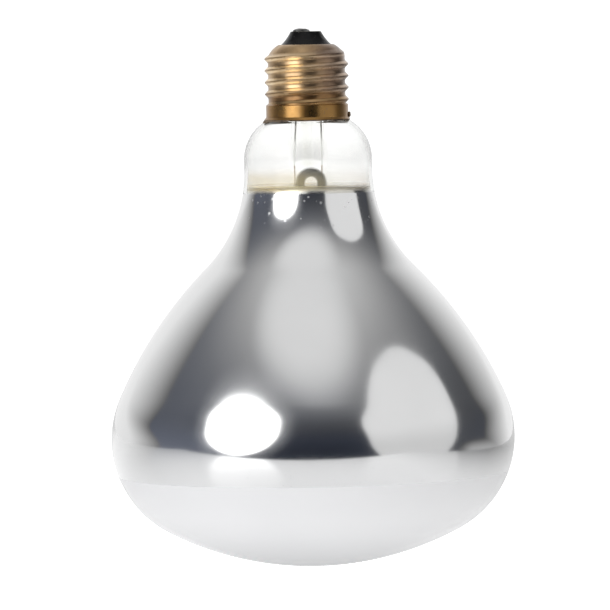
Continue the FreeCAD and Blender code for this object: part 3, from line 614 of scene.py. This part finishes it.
# %% Turn the plate
PLATE_EDGE, PLATE_RISE, FLAT_WIDTH, DISH_WIDTH, DISH_DEPTH = 0.00025, 0.0006, 0.00115, 0.0030, 0.00008
plate = start_section("contact_plate", 0, PLATE_SEAT)
go(PLATE_R, 0, 6)
go(0, PLATE_RISE - PLATE_EDGE, 2)
swing((PLATE_R - PLATE_EDGE, PLATE_SEAT + PLATE_RISE - PLATE_EDGE), 90, 6)
go(-FLAT_WIDTH, 0, 2)
go(-DISH_WIDTH, -DISH_DEPTH, 5)
turn_round(plate, 96)
plate.data.materials.append(plate_metal)
place(plate, "contact_brass", "centre_contact")

# %% Solder drop
LUMP_SCALE, FINE_SCALE, FINE_SHARE, MIDDLE_SWELL = 1.7, 4.5, 0.4, 0.3


def lumpy_drop(name, centre, half_sizes, roughness, seed):
    """A flattened ball whose surface is made uneven with noise, inside its own size."""
    bpy.ops.object.select_all(action="DESELECT")
    bpy.ops.mesh.primitive_uv_sphere_add(segments=56, ring_count=32, radius=1.0)
    drop = bpy.context.object
    drop.name = name
    drop.data.name = name
    for vertex in drop.data.vertices:
        lump = noise.noise(vertex.co * LUMP_SCALE + Vector((seed, 0, 0)))
        lump += FINE_SHARE * noise.noise(vertex.co * FINE_SCALE)
        vertex.co *= 1 - roughness * (0.5 + 0.5 * lump)
        vertex.co.z *= 1 + MIDDLE_SWELL - MIDDLE_SWELL * min(vertex.co.z ** 2, 1)
    bpy.ops.transform.resize(value=half_sizes)
    bpy.ops.transform.translate(value=centre)
    bpy.ops.object.transform_apply(location=True, rotation=True, scale=True)
    bpy.ops.object.shade_smooth()
    return drop


CONTACT_TOP, SOLDER_ASIDE, SOLDER_SUNK = PLATE_SEAT + PLATE_RISE, -0.00135, 0.0001
SOLDER_HALF, SOLDER_LUMPS = (0.0028, 0.0028, 0.00095), 0.2
solder = lumpy_drop("solder_drop", (SOLDER_ASIDE, 0, CONTACT_TOP), SOLDER_HALF, SOLDER_LUMPS, 3.0)
bpy.ops.object.mode_set(mode="EDIT")
bpy.ops.mesh.select_all(action="SELECT")
bpy.ops.mesh.bisect(plane_co=(0, 0, CONTACT_TOP - SOLDER_SUNK), plane_no=(0, 0, 1),
                    clear_inner=True, use_fill=True)
bpy.ops.object.mode_set(mode="OBJECT")
solder.data.materials.append(solder_metal)
place(solder, "solder", "contact_solder")
print("solder:", len(solder.data.polygons), "faces")

# %% Weld bead
weld_metal = patchy_finish(
    "burnt_weld", patches=(700.0, 0.2), tones=((0.11, 0.080, 0.055), (0.30, 0.21, 0.13)),
    polish=(0.35, 0.6), grain=(1500.0, 0.2, 0.4, 0.0002), Metallic=0.85)
WELD_AT, WELD_HALF, WELD_LUMPS = (0.01302, 0, 0.139627), (0.0005, 0.0013, 0.0009), 0.3
weld = lumpy_drop("weld_bead", WELD_AT, WELD_HALF, WELD_LUMPS, 11.0)
weld.data.materials.append(weld_metal)
place(weld, "solder", "rim_weld")
print("weld:", len(weld.data.polygons), "faces")

# %% [markdown]
# ## Cement at the rim
# The cap is glued on with a cement that was baked hard. All that shows is a dark, uneven line between the
# rim and the glass, with a burr where it was squeezed out at one side. A ring is turned to the gap's
# section and its outside is then pushed in and out round the lamp.

# %% Cement finish
cement = patchy_finish(
    "baked_cement", patches=(480.0, 0.16), tones=((0.09, 0.068, 0.050), (0.30, 0.225, 0.155)),
    polish=(0.55, 0.85), grain=(1600.0, 0.4, 0.5, 0.0002), specks=(1800.0, 0.8, (0.42, 0.37, 0.30)),
    Metallic=0.0)

# %% Turn and squeeze the cement
GAP_R, GAP_RISE = 0.0117, 0.00072
ring = start_section("rim_cement", GAP_R, RIM_Z + GAP_RISE)
go(0.00125, -0.0006, 3)
go(0.00025, -0.00035, 3)
go(-0.0001, -0.00022, 2)
go(-0.00115, 0.0007, 4)
go(-0.00025, 0.00047, 3)
turn_round(ring, 220)

SQUEEZED_FROM, SQUEEZED_BELOW, SHRINKAGE = 0.0124, 0.00017, 0.0001
BURR_AT, BURR_REACH, BURR_DEPTH = math.radians(196), math.radians(34), 0.0012
ROUND_SCALE, ROUND_DEPTH, DROOP_SCALE, DROOP_DEPTH = 420, 0.00018, 600, 0.00012
for vertex in ring.data.vertices:
    radius = vertex.co.xy.length
    if radius < SQUEEZED_FROM or vertex.co.z > RIM_Z + SQUEEZED_BELOW:
        continue
    angle = math.atan2(vertex.co.y, vertex.co.x) % (2 * math.pi)
    uneven = noise.noise(Vector((vertex.co.x, vertex.co.y, 0)) * ROUND_SCALE) * ROUND_DEPTH
    burr = max(0.0, 1 - abs((angle - BURR_AT) / BURR_REACH)) ** 1.5 * BURR_DEPTH
    vertex.co.xy *= (radius + uneven - SHRINKAGE + burr) / radius
    vertex.co.z += noise.noise(vertex.co * DROOP_SCALE) * DROOP_DEPTH - 0.5 * burr
ring.data.materials.append(cement)
place(ring, "cement", "basing_cement")

# %% [markdown]
# ## The glass stem
# Inside the neck a glass tube hangs from the throat. Its top is flared and melted to the bulb, and its
# foot is pinched flat on the wires while hot, which leaves an arched edge. The tube is turned first. Then
# its foot is flattened below that arch by drawing the vertices towards the middle plane. The bore closes
# to a slit on the way down, and the pumping tube inside it is pinched along with it.

# %% Stem glass
stem_glass, tree, sockets = new_material(
    "stem_glass", Transmission_Weight=1.0, IOR=1.02, Metallic=0.0)
smudges = use(tree, "hand_smudges", Scale=120.0, Spread=0.2)["Mask"]
feed(sockets["Roughness"], blend_values(smudges, 0.0, 0.03))
clear = blend_colours(smudges, (0.99, 0.99, 0.988), (0.975, 0.975, 0.965))
# The stem glass is painted nearly black along an arch above the pinch.
arch = use(tree, "dark_arch_band", Across=0.0008, Up=0.1186, Inner=0.0023, Outer=0.0052)["Mask"]
feed(sockets["Base Color"], blend_colours(arch, clear, (0.022, 0.021, 0.0165)))
ripples = use(tree, "blown_ripples", Scale=220.0, Fine=0.0)["Height"]
feed(sockets["Normal"], bump(ripples, 0.15, 0.0005))

# %% Turn the stem
STEM_R, STEM_BORE, BORE_FOOT = 0.00595, 0.00495, 0.1285
PRESS_BASE, PRESS_ROUND, PRESS_RISE = 0.112027, 0.0006, 0.0220
FLARE_R, FLARE_Z, FLANGE = 0.010, 0.146977, 0.001

stem = start_section("pinched_stem", 0, PRESS_BASE)
go(STEM_R - PRESS_ROUND, 0, 6)
swing((STEM_R - PRESS_ROUND, PRESS_BASE + PRESS_ROUND), 90, 4)
go(0, PRESS_RISE - PRESS_ROUND, 44)
go(0, FLARE_Z - PRESS_BASE - PRESS_RISE, 12)
swing((FLARE_R, FLARE_Z), -90, 12)
go(FLANGE, 0, 2)
go(0, FLANGE, 2)
go(-FLANGE, 0, 2)
swing((FLARE_R, FLARE_Z), 90, 12)
go(0, BORE_FOOT - FLARE_Z, 12)
swing((0, BORE_FOOT), -90, 14)
turn_round(stem, 96)

# %% Pinch the stem
PRESS_HALF, ARCH_Z, ARCH_INSIDE, ARCH_OUTSIDE, ARCH_WIDEN = 0.0021, 0.115927, 0.0056, 0.0100, 0.8
SLIT_FOOT, SLIT_TOP, BORE_FROM = 0.1225, 0.1400, 0.12
for vertex in stem.data.vertices:
    if vertex.co.xy.length < STEM_BORE + TOLERANCE and vertex.co.z > BORE_FROM:
        vertex.co.y *= ease(SLIT_FOOT, SLIT_TOP, vertex.co.z)
    over = max(vertex.co.z - ARCH_Z, 0)
    flat = 1 - ease(ARCH_INSIDE, ARCH_OUTSIDE, math.hypot(vertex.co.x * ARCH_WIDEN, over))
    vertex.co.y *= 1 + flat * (PRESS_HALF / STEM_R - 1)
stem.data.materials.append(stem_glass)
place(stem, "stem_glass", "glass_stem")
print("stem pinched:", len(stem.data.vertices), "vertices")

# %% Exhaust tube
TUBE_FOOT, TUBE_TOP, TUBE_BORE, TUBE_WALL = 0.1242, 0.1515267, 0.0013, 0.0007
tube = start_section("pumping_tube", TUBE_BORE, TUBE_FOOT)
go(TUBE_WALL, 0)
go(0, TUBE_TOP - TUBE_FOOT, 10)
swing((0, TUBE_TOP), 90, 10)
go(0, -TUBE_WALL)
swing((0, TUBE_TOP), -90, 8)
go(0, TUBE_FOOT - TUBE_TOP, 10)
turn_round(tube, 64)
for vertex in tube.data.vertices:
    vertex.co.y *= ease(SLIT_FOOT, SLIT_TOP, vertex.co.z)
tube.data.materials.append(stem_glass)
place(tube, "stem_glass", "exhaust_tube")

# %% [markdown]
# ## Wires and the rest of the mount
# Leads, supports and the glass rod keep the construction's own meshes, which are already true. They only
# need finishes: drawn nickel wire with fine lines along it, copper-clad wire in the press, dark support
# wire. The two outer leads are dark with oxide near the cap and painted pale lower down, a painted
# reflection and haze of the glass in front of them.

# %% Wire finishes
def wire_finish(name, light, dark, rough):
    """Drawn wire: two tones that alternate in fine bands, with a slight grain."""
    material, tree, sockets = new_material(name, Metallic=1.0)
    bands = use(tree, "hand_smudges", Scale=900.0, Spread=0.25)["Mask"]
    lines = use(tree, "drawn_lines", Around=9000.0, Along=300.0)["Value"]
    feed(sockets["Base Color"], blend_colours(bands, light, dark))
    feed(sockets["Roughness"], blend_values(bands, rough, rough + 0.15))
    feed(sockets["Normal"], bump(lines, 0.2, 0.00003))
    return material


nickel = wire_finish("nickel_lead", (0.26, 0.25, 0.24), (0.14, 0.135, 0.13), 0.32)
copper = wire_finish("copper_seal", (0.66, 0.54, 0.46), (0.50, 0.38, 0.31), 0.34)
support = wire_finish("support_wire", (0.38, 0.38, 0.39), (0.22, 0.22, 0.23), 0.30)

outer_lead = wire_finish("outer_lead", (0.40, 0.385, 0.37), (0.24, 0.23, 0.22), 0.32)
tree = outer_lead.node_tree
# Lower down the leads are painted pale: a painted reflection and haze of the glass in front of them.
painted_pale_foot = use(tree, "height_band", Low=0.1350, High=0.1300, Fray=0.0030, Scale=300.0)["Mask"]
repaint(outer_lead, "Base Color", painted_pale_foot, (0.88, 0.88, 0.86))
feed(tree.nodes["Principled BSDF"].inputs["Metallic"], blend_values(painted_pale_foot, 1.0, 0.0))

# %% Dress the wires and the rod
finishes = {outer_lead: ("centre_lead", "side_lead"), nickel: ("inner_lead_left", "inner_lead_right"),
            copper: ("seal_wires",), support: ("filament_supports",), stem_glass: ("arbor_rod",)}
for finish, names in finishes.items():
    for name in names:
        nodes[name].data.materials.clear()
        nodes[name].data.materials.append(finish)
print("dressed nodes:", sum(len(names) for names in finishes.values()))

# %% [markdown]
# ## The coiled filament
# The construction holds the filament as the plain ring that its coil fills. The real one is a fine wire
# wound into a coil and hung in a ring. A curve that circles the ring's line gives that coil, and a round
# bevel gives the wire its thickness before it is made a mesh.

# %% Wind the filament
tungsten = wire_finish("dark_filament", (0.22, 0.22, 0.23), (0.10, 0.10, 0.105), 0.4)
RING_R, RING_Z, COIL_R, WIRE_R, COIL_TURNS, GAP = 0.014, 0.072027, 0.00068, 0.00011, 100, math.radians(56)
TURN_POINTS = 10
steps = COIL_TURNS * TURN_POINTS
curve = bpy.data.curves.new("wound_filament", "CURVE")
curve.dimensions = "3D"
curve.bevel_depth = WIRE_R
curve.bevel_resolution = 1
spline = curve.splines.new("POLY")
spline.points.add(steps)
for index, point in enumerate(spline.points):
    share = index / steps
    around = -math.pi / 2 + GAP / 2 + share * (2 * math.pi - GAP)
    wind = share * COIL_TURNS * 2 * math.pi
    reach = RING_R + COIL_R * math.cos(wind)
    point.co = (reach * math.cos(around), reach * math.sin(around), RING_Z + COIL_R * math.sin(wind), 1)
filament = bpy.data.objects.new("wound_filament", curve)
bpy.context.scene.collection.objects.link(filament)
bpy.ops.object.select_all(action="DESELECT")
filament.select_set(True)
bpy.context.view_layer.objects.active = filament
bpy.ops.object.convert(target="MESH")
filament = bpy.context.object
bpy.ops.object.shade_smooth()
filament.data.materials.clear()
filament.data.materials.append(tungsten)
place(filament, "filament_wire", "filament")
print("filament:", len(filament.data.polygons), "faces")

# %% [markdown]
# ## Studio
# The mirror is a picture of its studio, and the photograph shows a white wall behind, a pale ceiling, a
# bright round softbox on the left, a paler eight-sided panel on the right and a dark room round the
# camera. The table's front edge is close, so the mirror turns dark again just above it. Each of these
# is set up at the direction where the mirror shows it.

# %% Camera
CAMERA_AT, AIM_AT, LEAN = (-0.00177, -1.8, 0.170), (-0.00177, 0.0, 0.0808), math.radians(-1.05)
SENSOR_MM, LENS_MM = 36.0, 343.4
bpy.ops.object.camera_add(location=CAMERA_AT)
camera = bpy.context.object
camera.name = "photo_camera"
camera.data.sensor_width = SENSOR_MM
camera.data.lens = LENS_MM
aim = Vector(AIM_AT) - camera.location
lean = Matrix.Rotation(LEAN, 4, "Z").to_quaternion()
camera.rotation_euler = (aim.to_track_quat("-Z", "Y") @ lean).to_euler()
bpy.context.scene.camera = camera
print("camera:", round(aim.length, 3), "m from its aim")

# %% Table
TABLE_FRONT, TABLE_BACK, TABLE_LEFT, TABLE_RIGHT = -0.235, 4.0, -1.0, 0.30
bpy.ops.object.select_all(action="DESELECT")
bpy.ops.mesh.primitive_plane_add(
    size=2.0, location=((TABLE_LEFT + TABLE_RIGHT) / 2, (TABLE_FRONT + TABLE_BACK) / 2, 0))
table = bpy.context.object
table.name = "white_table"
bpy.ops.transform.resize(value=((TABLE_RIGHT - TABLE_LEFT) / 2, (TABLE_BACK - TABLE_FRONT) / 2, 1))
bpy.ops.object.transform_apply(location=True, rotation=True, scale=True)

# Painted light: a pool of light round the lamp, fading with distance, and painted shadow behind on the
# right.
POOL_REACH, POOL_FADE, POOL_BEND = 0.9, -0.8, -0.55
SHADE_FROM, SHADE_SLANT, SHADE_FADE, SHADE_LEAST = 0.05, 0.6, -2.1, 0.3
GLOW, MIRRORED_GLOW, SEEN_GLOW, MIRRORED_GLOSS = 0.265, 0.185, 0.9, 0.25
table_white, tree, sockets = new_material("white_table", Roughness=0.16)
spot = object_spot(tree)
axes = axes_of(spot)
from_lamp = put(tree, "VectorMath", {0: spot}, operation="LENGTH").outputs["Value"]
away = calc("MINIMUM", from_lamp, POOL_REACH)
near = line(calc("MULTIPLY", away, line(away, POOL_BEND, 1.0)), POOL_FADE, 1.0)
behind = calc("MAXIMUM", line(axes["Y"], SHADE_SLANT, calc("SUBTRACT", axes["X"], SHADE_FROM)), 0.0)
painted_light_pool = calc("MULTIPLY", near, calc("MAXIMUM", line(behind, SHADE_FADE, 1.0), SHADE_LEAST))
feed(sockets["Base Color"], blend_colours(painted_light_pool, (0.0, 0.0, 0.0), (0.95, 0.95, 0.95)))
# The table glows as painted light: white to the camera, and with the painted pool in light and reflections.
rays = put(tree, "LightPath").outputs
shown = calc("MAXIMUM", painted_light_pool, rays["Is Camera Ray"])
feed(sockets["Emission Color"], blend_colours(shown, (0.0, 0.0, 0.0), (1.0, 1.0, 1.0)))
lift = line(rays["Is Glossy Ray"], MIRRORED_GLOW, GLOW)
feed(sockets["Emission Strength"], line(rays["Is Camera Ray"], SEEN_GLOW, lift))
feed(sockets["Specular IOR Level"], calc("MULTIPLY", rays["Is Glossy Ray"], MIRRORED_GLOSS))
table.data.materials.append(table_white)
print("table nodes:", len(tree.nodes))

# %% [markdown]
# ### Wall, ceiling and dark room
# What the mirror shows far away is set by direction alone. The ceiling grows paler towards the zenith and
# holds a large soft light in front, which leans to the right lower down. The wall fades from the back
# round to both sides and reaches further round near the table. The rest of the room is dark and a little
# blue, most of all near the table.

# %% Directions in the studio
world = bpy.data.worlds.new("studio")
bpy.context.scene.world = world
world.use_nodes = True
tree = world.node_tree
tree.nodes.clear()
look = put(tree, "TexCoord").outputs["Generated"]
look_axes = axes_of(look)
height = look_axes["Z"]
rise = calc("MAXIMUM", height, 0.0)
level = put(tree, "VectorMath", {0: look, 1: (1.0, 1.0, 0.0)}, operation="MULTIPLY").outputs[0]
level = put(tree, "VectorMath", {0: level}, operation="NORMALIZE").outputs[0]
round_axes = axes_of(level)
backward, sideways = round_axes["Y"], round_axes["X"]
print("directions:", len(tree.nodes), "nodes")

# %% Ceiling and its soft light
CEILING_LOW, CEILING_SLOPE, CEILING_TOP = 0.030, 0.06, 0.67
SOFT_TOWARDS, SOFT_TOP, SOFT_LEAN = (-0.0885, -0.3304, 0.9397), 0.94, 0.5
SOFT_GLOW, SOFT_FROM, SOFT_FULL = 0.84, 0.86, 0.985
ceiling = line(calc("POWER", rise, 4.0), CEILING_TOP, line(rise, CEILING_SLOPE, CEILING_LOW))
soft = put(tree, "VectorMath", {0: look, 1: SOFT_TOWARDS}, operation="DOT_PRODUCT").outputs["Value"]
below = calc("MAXIMUM", calc("SUBTRACT", SOFT_TOP, height), 0.0)
soft = line(calc("MULTIPLY", look_axes["X"], below), SOFT_LEAN, soft)
soft = smooth_step(soft, SOFT_FROM, SOFT_FULL)
ceiling = line(soft, calc("SUBTRACT", SOFT_GLOW, ceiling), ceiling)
print("with the ceiling:", len(tree.nodes), "nodes")

# %% Dark room
NIGHT_TINT = {"X": -0.15, "Y": -0.02, "Z": 0.36}
aside = calc("POWER", calc("ABSOLUTE", sideways), 3.0)
flank = calc("MULTIPLY", aside, line(sideways, -0.045, 0.095))
low_down = calc("MAXIMUM", line(rise, -1.5, 1.0), 0.0)
room = calc("ADD", ceiling, calc("MULTIPLY", flank, low_down))
faint = calc("MULTIPLY", smooth_step(rise, 0.90, 0.40), line(sideways, -0.15, 0.36))
blue = line(smooth_step(rise, 0.45, 0.05), line(aside, -0.6, 0.75), faint)
blue = calc("MULTIPLY", blue, calc("SUBTRACT", 1.0, soft))
shares = {axis: line(blue, change, 1.0) for axis, change in NIGHT_TINT.items()}
tint = put(tree, "CombineXYZ", shares).outputs[0]
night = put(tree, "VectorMath", {0: tint, "Scale": room}, operation="SCALE").outputs[0]
print("with the dark room:", len(tree.nodes), "nodes")

# %% White wall and what shows straight through
WALL_GLOW, GROUND_GLOW, OPEN_WHITE = 0.92, 0.5, 1.16
wall_span = {"From Min": 0.42, "From Max": 0.98}
lower = calc("MULTIPLY", smooth_step(height, 0.22, -0.02), line(sideways, -0.084, 0.217))
lift = calc("MULTIPLY", height, line(calc("MULTIPLY", height, height), -0.40, 0.30))
reach = calc("ADD", line(sideways, -0.10, backward), calc("ADD", lower, lift))
share = put(tree, "MapRange", {"Value": reach, **wall_span}).outputs["Result"]
wall = calc("MULTIPLY", calc("MULTIPLY", share, WALL_GLOW), smooth_step(height, 0.98, 0.75))
ground = calc("MULTIPLY", smooth_step(height, 0.02, -0.15), GROUND_GLOW)
ground = calc("MULTIPLY", ground, smooth_step(backward, -0.05, 0.25))
rays = put(tree, "LightPath").outputs
through = calc("MULTIPLY", rays["Is Transmission Ray"], calc("LESS_THAN", rays["Glossy Depth"], 0.5))
open_white = calc("MULTIPLY", calc("MAXIMUM", rays["Is Camera Ray"], through), OPEN_WHITE)
pale = calc("MAXIMUM", calc("MAXIMUM", wall, ground), open_white)
white = put(tree, "CombineXYZ", {axis: pale for axis in "XYZ"}).outputs[0]
light = put(tree, "VectorMath", {0: night, 1: white}, operation="MAXIMUM").outputs[0]
glow = put(tree, "Background", {"Color": light, "Strength": 1.0})
feed(tree.nodes.new("ShaderNodeOutputWorld").inputs["Surface"], glow.outputs[0])
print("with the wall:", len(tree.nodes), "nodes")

# %% [markdown]
# ### Softbox and panel
# A softbox is far brighter than what it lights, so metal shows it as a white disc while matt glass only
# gets a gentle shade from it. Here the disc that reflections see and the light that shades are two
# objects at the same place. It stands close by, so the neck sees it lower than the flank does, and its
# glow spills a little past the rim. A weak light in front lifts only the matt face. The panel is an
# eight-sided sheet with a shifted foot and rounded corners, a little dimmer low down.

# %% Helpers for the studio's lights
LAMP_MIDDLE = Vector((0, 0, 0.05))


def studio_spot(azimuth, elevation, distance):
    """A place in the studio, from degrees right of the camera and above the lamp's middle."""
    turn, rise = math.radians(azimuth), math.radians(elevation)
    level = distance * math.cos(rise)
    return LAMP_MIDDLE + Vector((level * math.sin(turn), -level * math.cos(turn), distance * math.sin(rise)))


def unseen_light(name, place_at, shape, width, height, energy):
    """An area light that faces the lamp and that neither the camera nor reflections see."""
    bpy.ops.object.light_add(type="AREA", location=place_at)
    light = bpy.context.object
    light.name = name
    light.data.shape = shape
    light.data.size = width
    light.data.size_y = height
    light.data.energy = energy
    light.rotation_euler = (LAMP_MIDDLE - light.location).to_track_quat("-Z", "Y").to_euler()
    light.visible_camera = False
    light.visible_glossy = False
    print(f"{name}: {energy:.2f} W")


def glowing_sheet(name, sides, radius, place_at, strength, fill_type):
    """A flat sheet of light that faces the lamp and that the camera doesn't see."""
    bpy.ops.object.select_all(action="DESELECT")
    bpy.ops.mesh.primitive_circle_add(vertices=sides, radius=radius, fill_type=fill_type, location=place_at,
                                      rotation=(LAMP_MIDDLE - place_at).to_track_quat("Z", "Y").to_euler())
    sheet = bpy.context.object
    sheet.name = name
    material, tree, sockets = new_material(name, Emission_Strength=strength, Roughness=1.0)
    cloud = use(tree, "hand_smudges", Scale=1.2, Spread=0.5)["Mask"]
    feed(sockets["Emission Color"], blend_colours(cloud, (0.95, 0.95, 0.95), (1.0, 1.0, 1.0)))
    sockets["Base Color"].default_value = (0.0, 0.0, 0.0, 1.0)
    sheet.data.materials.append(material)
    sheet.visible_camera = False
    return sheet


# %% Softbox
KEY_SHADE, KEY_GLOW, KEY_WIDTH, KEY_HEIGHT = 0.8, 3.3, 0.335, 0.38
KEY_TURN, KEY_AWAY, KEY_Z = math.radians(40), 0.41, 0.165
key_place = Vector((-KEY_AWAY * math.sin(KEY_TURN), -KEY_AWAY * math.cos(KEY_TURN), KEY_Z))
key_power = math.pi * math.pi * KEY_WIDTH * KEY_HEIGHT / 4 * KEY_SHADE
unseen_light("left_softbox", key_place, "ELLIPSE", KEY_WIDTH, KEY_HEIGHT, key_power)

SPILL, SPILL_FULL, SPILL_GLOW, RIM_FROM, RIM_FULL = 1.55, 0.95, 0.06, 1.06, 0.92
WIDEN_LEFT, WIDEN_RIGHT, DISC_WIDTH, DISC_FOOT = 0.75, 0.30, 0.96, 0.94
spill_reach = SPILL * KEY_HEIGHT / 2
disc = glowing_sheet("softbox_disc", 64, spill_reach, key_place, KEY_GLOW, "TRIFAN")
for vertex in disc.data.vertices:
    widen = WIDEN_LEFT if vertex.co.x > 0 else WIDEN_RIGHT
    broad = 1 + widen * max(vertex.co.y / spill_reach, 0) ** 2
    vertex.co.x *= DISC_WIDTH * KEY_WIDTH / KEY_HEIGHT * broad
    vertex.co.y *= DISC_FOOT if vertex.co.y < 0 else 1.0
tree = disc.data.materials[0].node_tree
flat_spot = put(tree, "TexCoord").outputs["UV"]
apart = put(tree, "VectorMath", {0: flat_spot, 1: (0.5, 0.5, 0.0)}, operation="DISTANCE").outputs["Value"]
from_middle = calc("MULTIPLY", apart, 2 * SPILL)
spill = calc("MULTIPLY", smooth_step(from_middle, SPILL, SPILL_FULL), SPILL_GLOW)
shown = calc("MAXIMUM", smooth_step(from_middle, RIM_FROM, RIM_FULL), spill)
feed(tree.nodes["Principled BSDF"].inputs["Alpha"], shown)
disc.visible_diffuse = False
disc.visible_shadow = False

# %% Front fill
FILL_AT, FILL_GLOW, FILL_WIDTH = (-0.35, -0.95, 0.10), 2.3, 0.6
unseen_light("front_fill", FILL_AT, "SQUARE", FILL_WIDTH, FILL_WIDTH, math.pi * FILL_WIDTH ** 2 * FILL_GLOW)

# %% Panel
PANEL_AT, PANEL_R, PANEL_GLOW, PANEL_ROUNDING = studio_spot(63.5, 16, 1.3), 0.90, 0.9, 0.21
FOOT_SCALE, FOOT_SHIFT, FOOT_DROP = 0.82, 0.13, 0.15
TIP_FROM, TIP_LEFT, TIP_RIGHT, TIP_RISE = 0.8, 0.95, 0.75, 0.05
SIDE_SHIFT, SIDE_RISE = 0.03, 0.22
panel = glowing_sheet("right_panel", 8, PANEL_R, PANEL_AT, PANEL_GLOW, "NGON")
bpy.ops.object.mode_set(mode="EDIT")
bpy.ops.mesh.select_all(action="SELECT")
bpy.ops.transform.rotate(value=math.radians(22.5), orient_axis="Z", orient_type="LOCAL",
                         center_override=panel.location)
bpy.ops.object.mode_set(mode="OBJECT")
for vertex in panel.data.vertices:
    if vertex.co.y < 0:
        vertex.co.x = vertex.co.x * FOOT_SCALE + FOOT_SHIFT
        vertex.co.y -= FOOT_DROP
    elif vertex.co.y > TIP_FROM:
        vertex.co.x *= TIP_RIGHT if vertex.co.x < 0 else TIP_LEFT
        vertex.co.y += TIP_RISE
    elif vertex.co.x < 0:
        vertex.co.x += SIDE_SHIFT
        vertex.co.y += SIDE_RISE
bpy.ops.object.mode_set(mode="EDIT")
bpy.ops.mesh.select_all(action="SELECT")
bpy.ops.mesh.bevel(affect="VERTICES", offset=PANEL_ROUNDING, offset_type="OFFSET", segments=6)
bpy.ops.object.mode_set(mode="OBJECT")
panel_finish = panel.data.materials[0]
low_part = smooth_step(axes_of(object_spot(panel_finish.node_tree))["Y"], 0.1, -0.4)
repaint(panel_finish, "Emission Color", low_part, (0.8, 0.8, 0.8))
print("panel corners:", len(panel.data.vertices))

# %% View
bpy.context.scene.view_settings.view_transform = "Standard"
bpy.context.scene.view_settings.look = "None"
print("view:", bpy.context.scene.view_settings.view_transform)
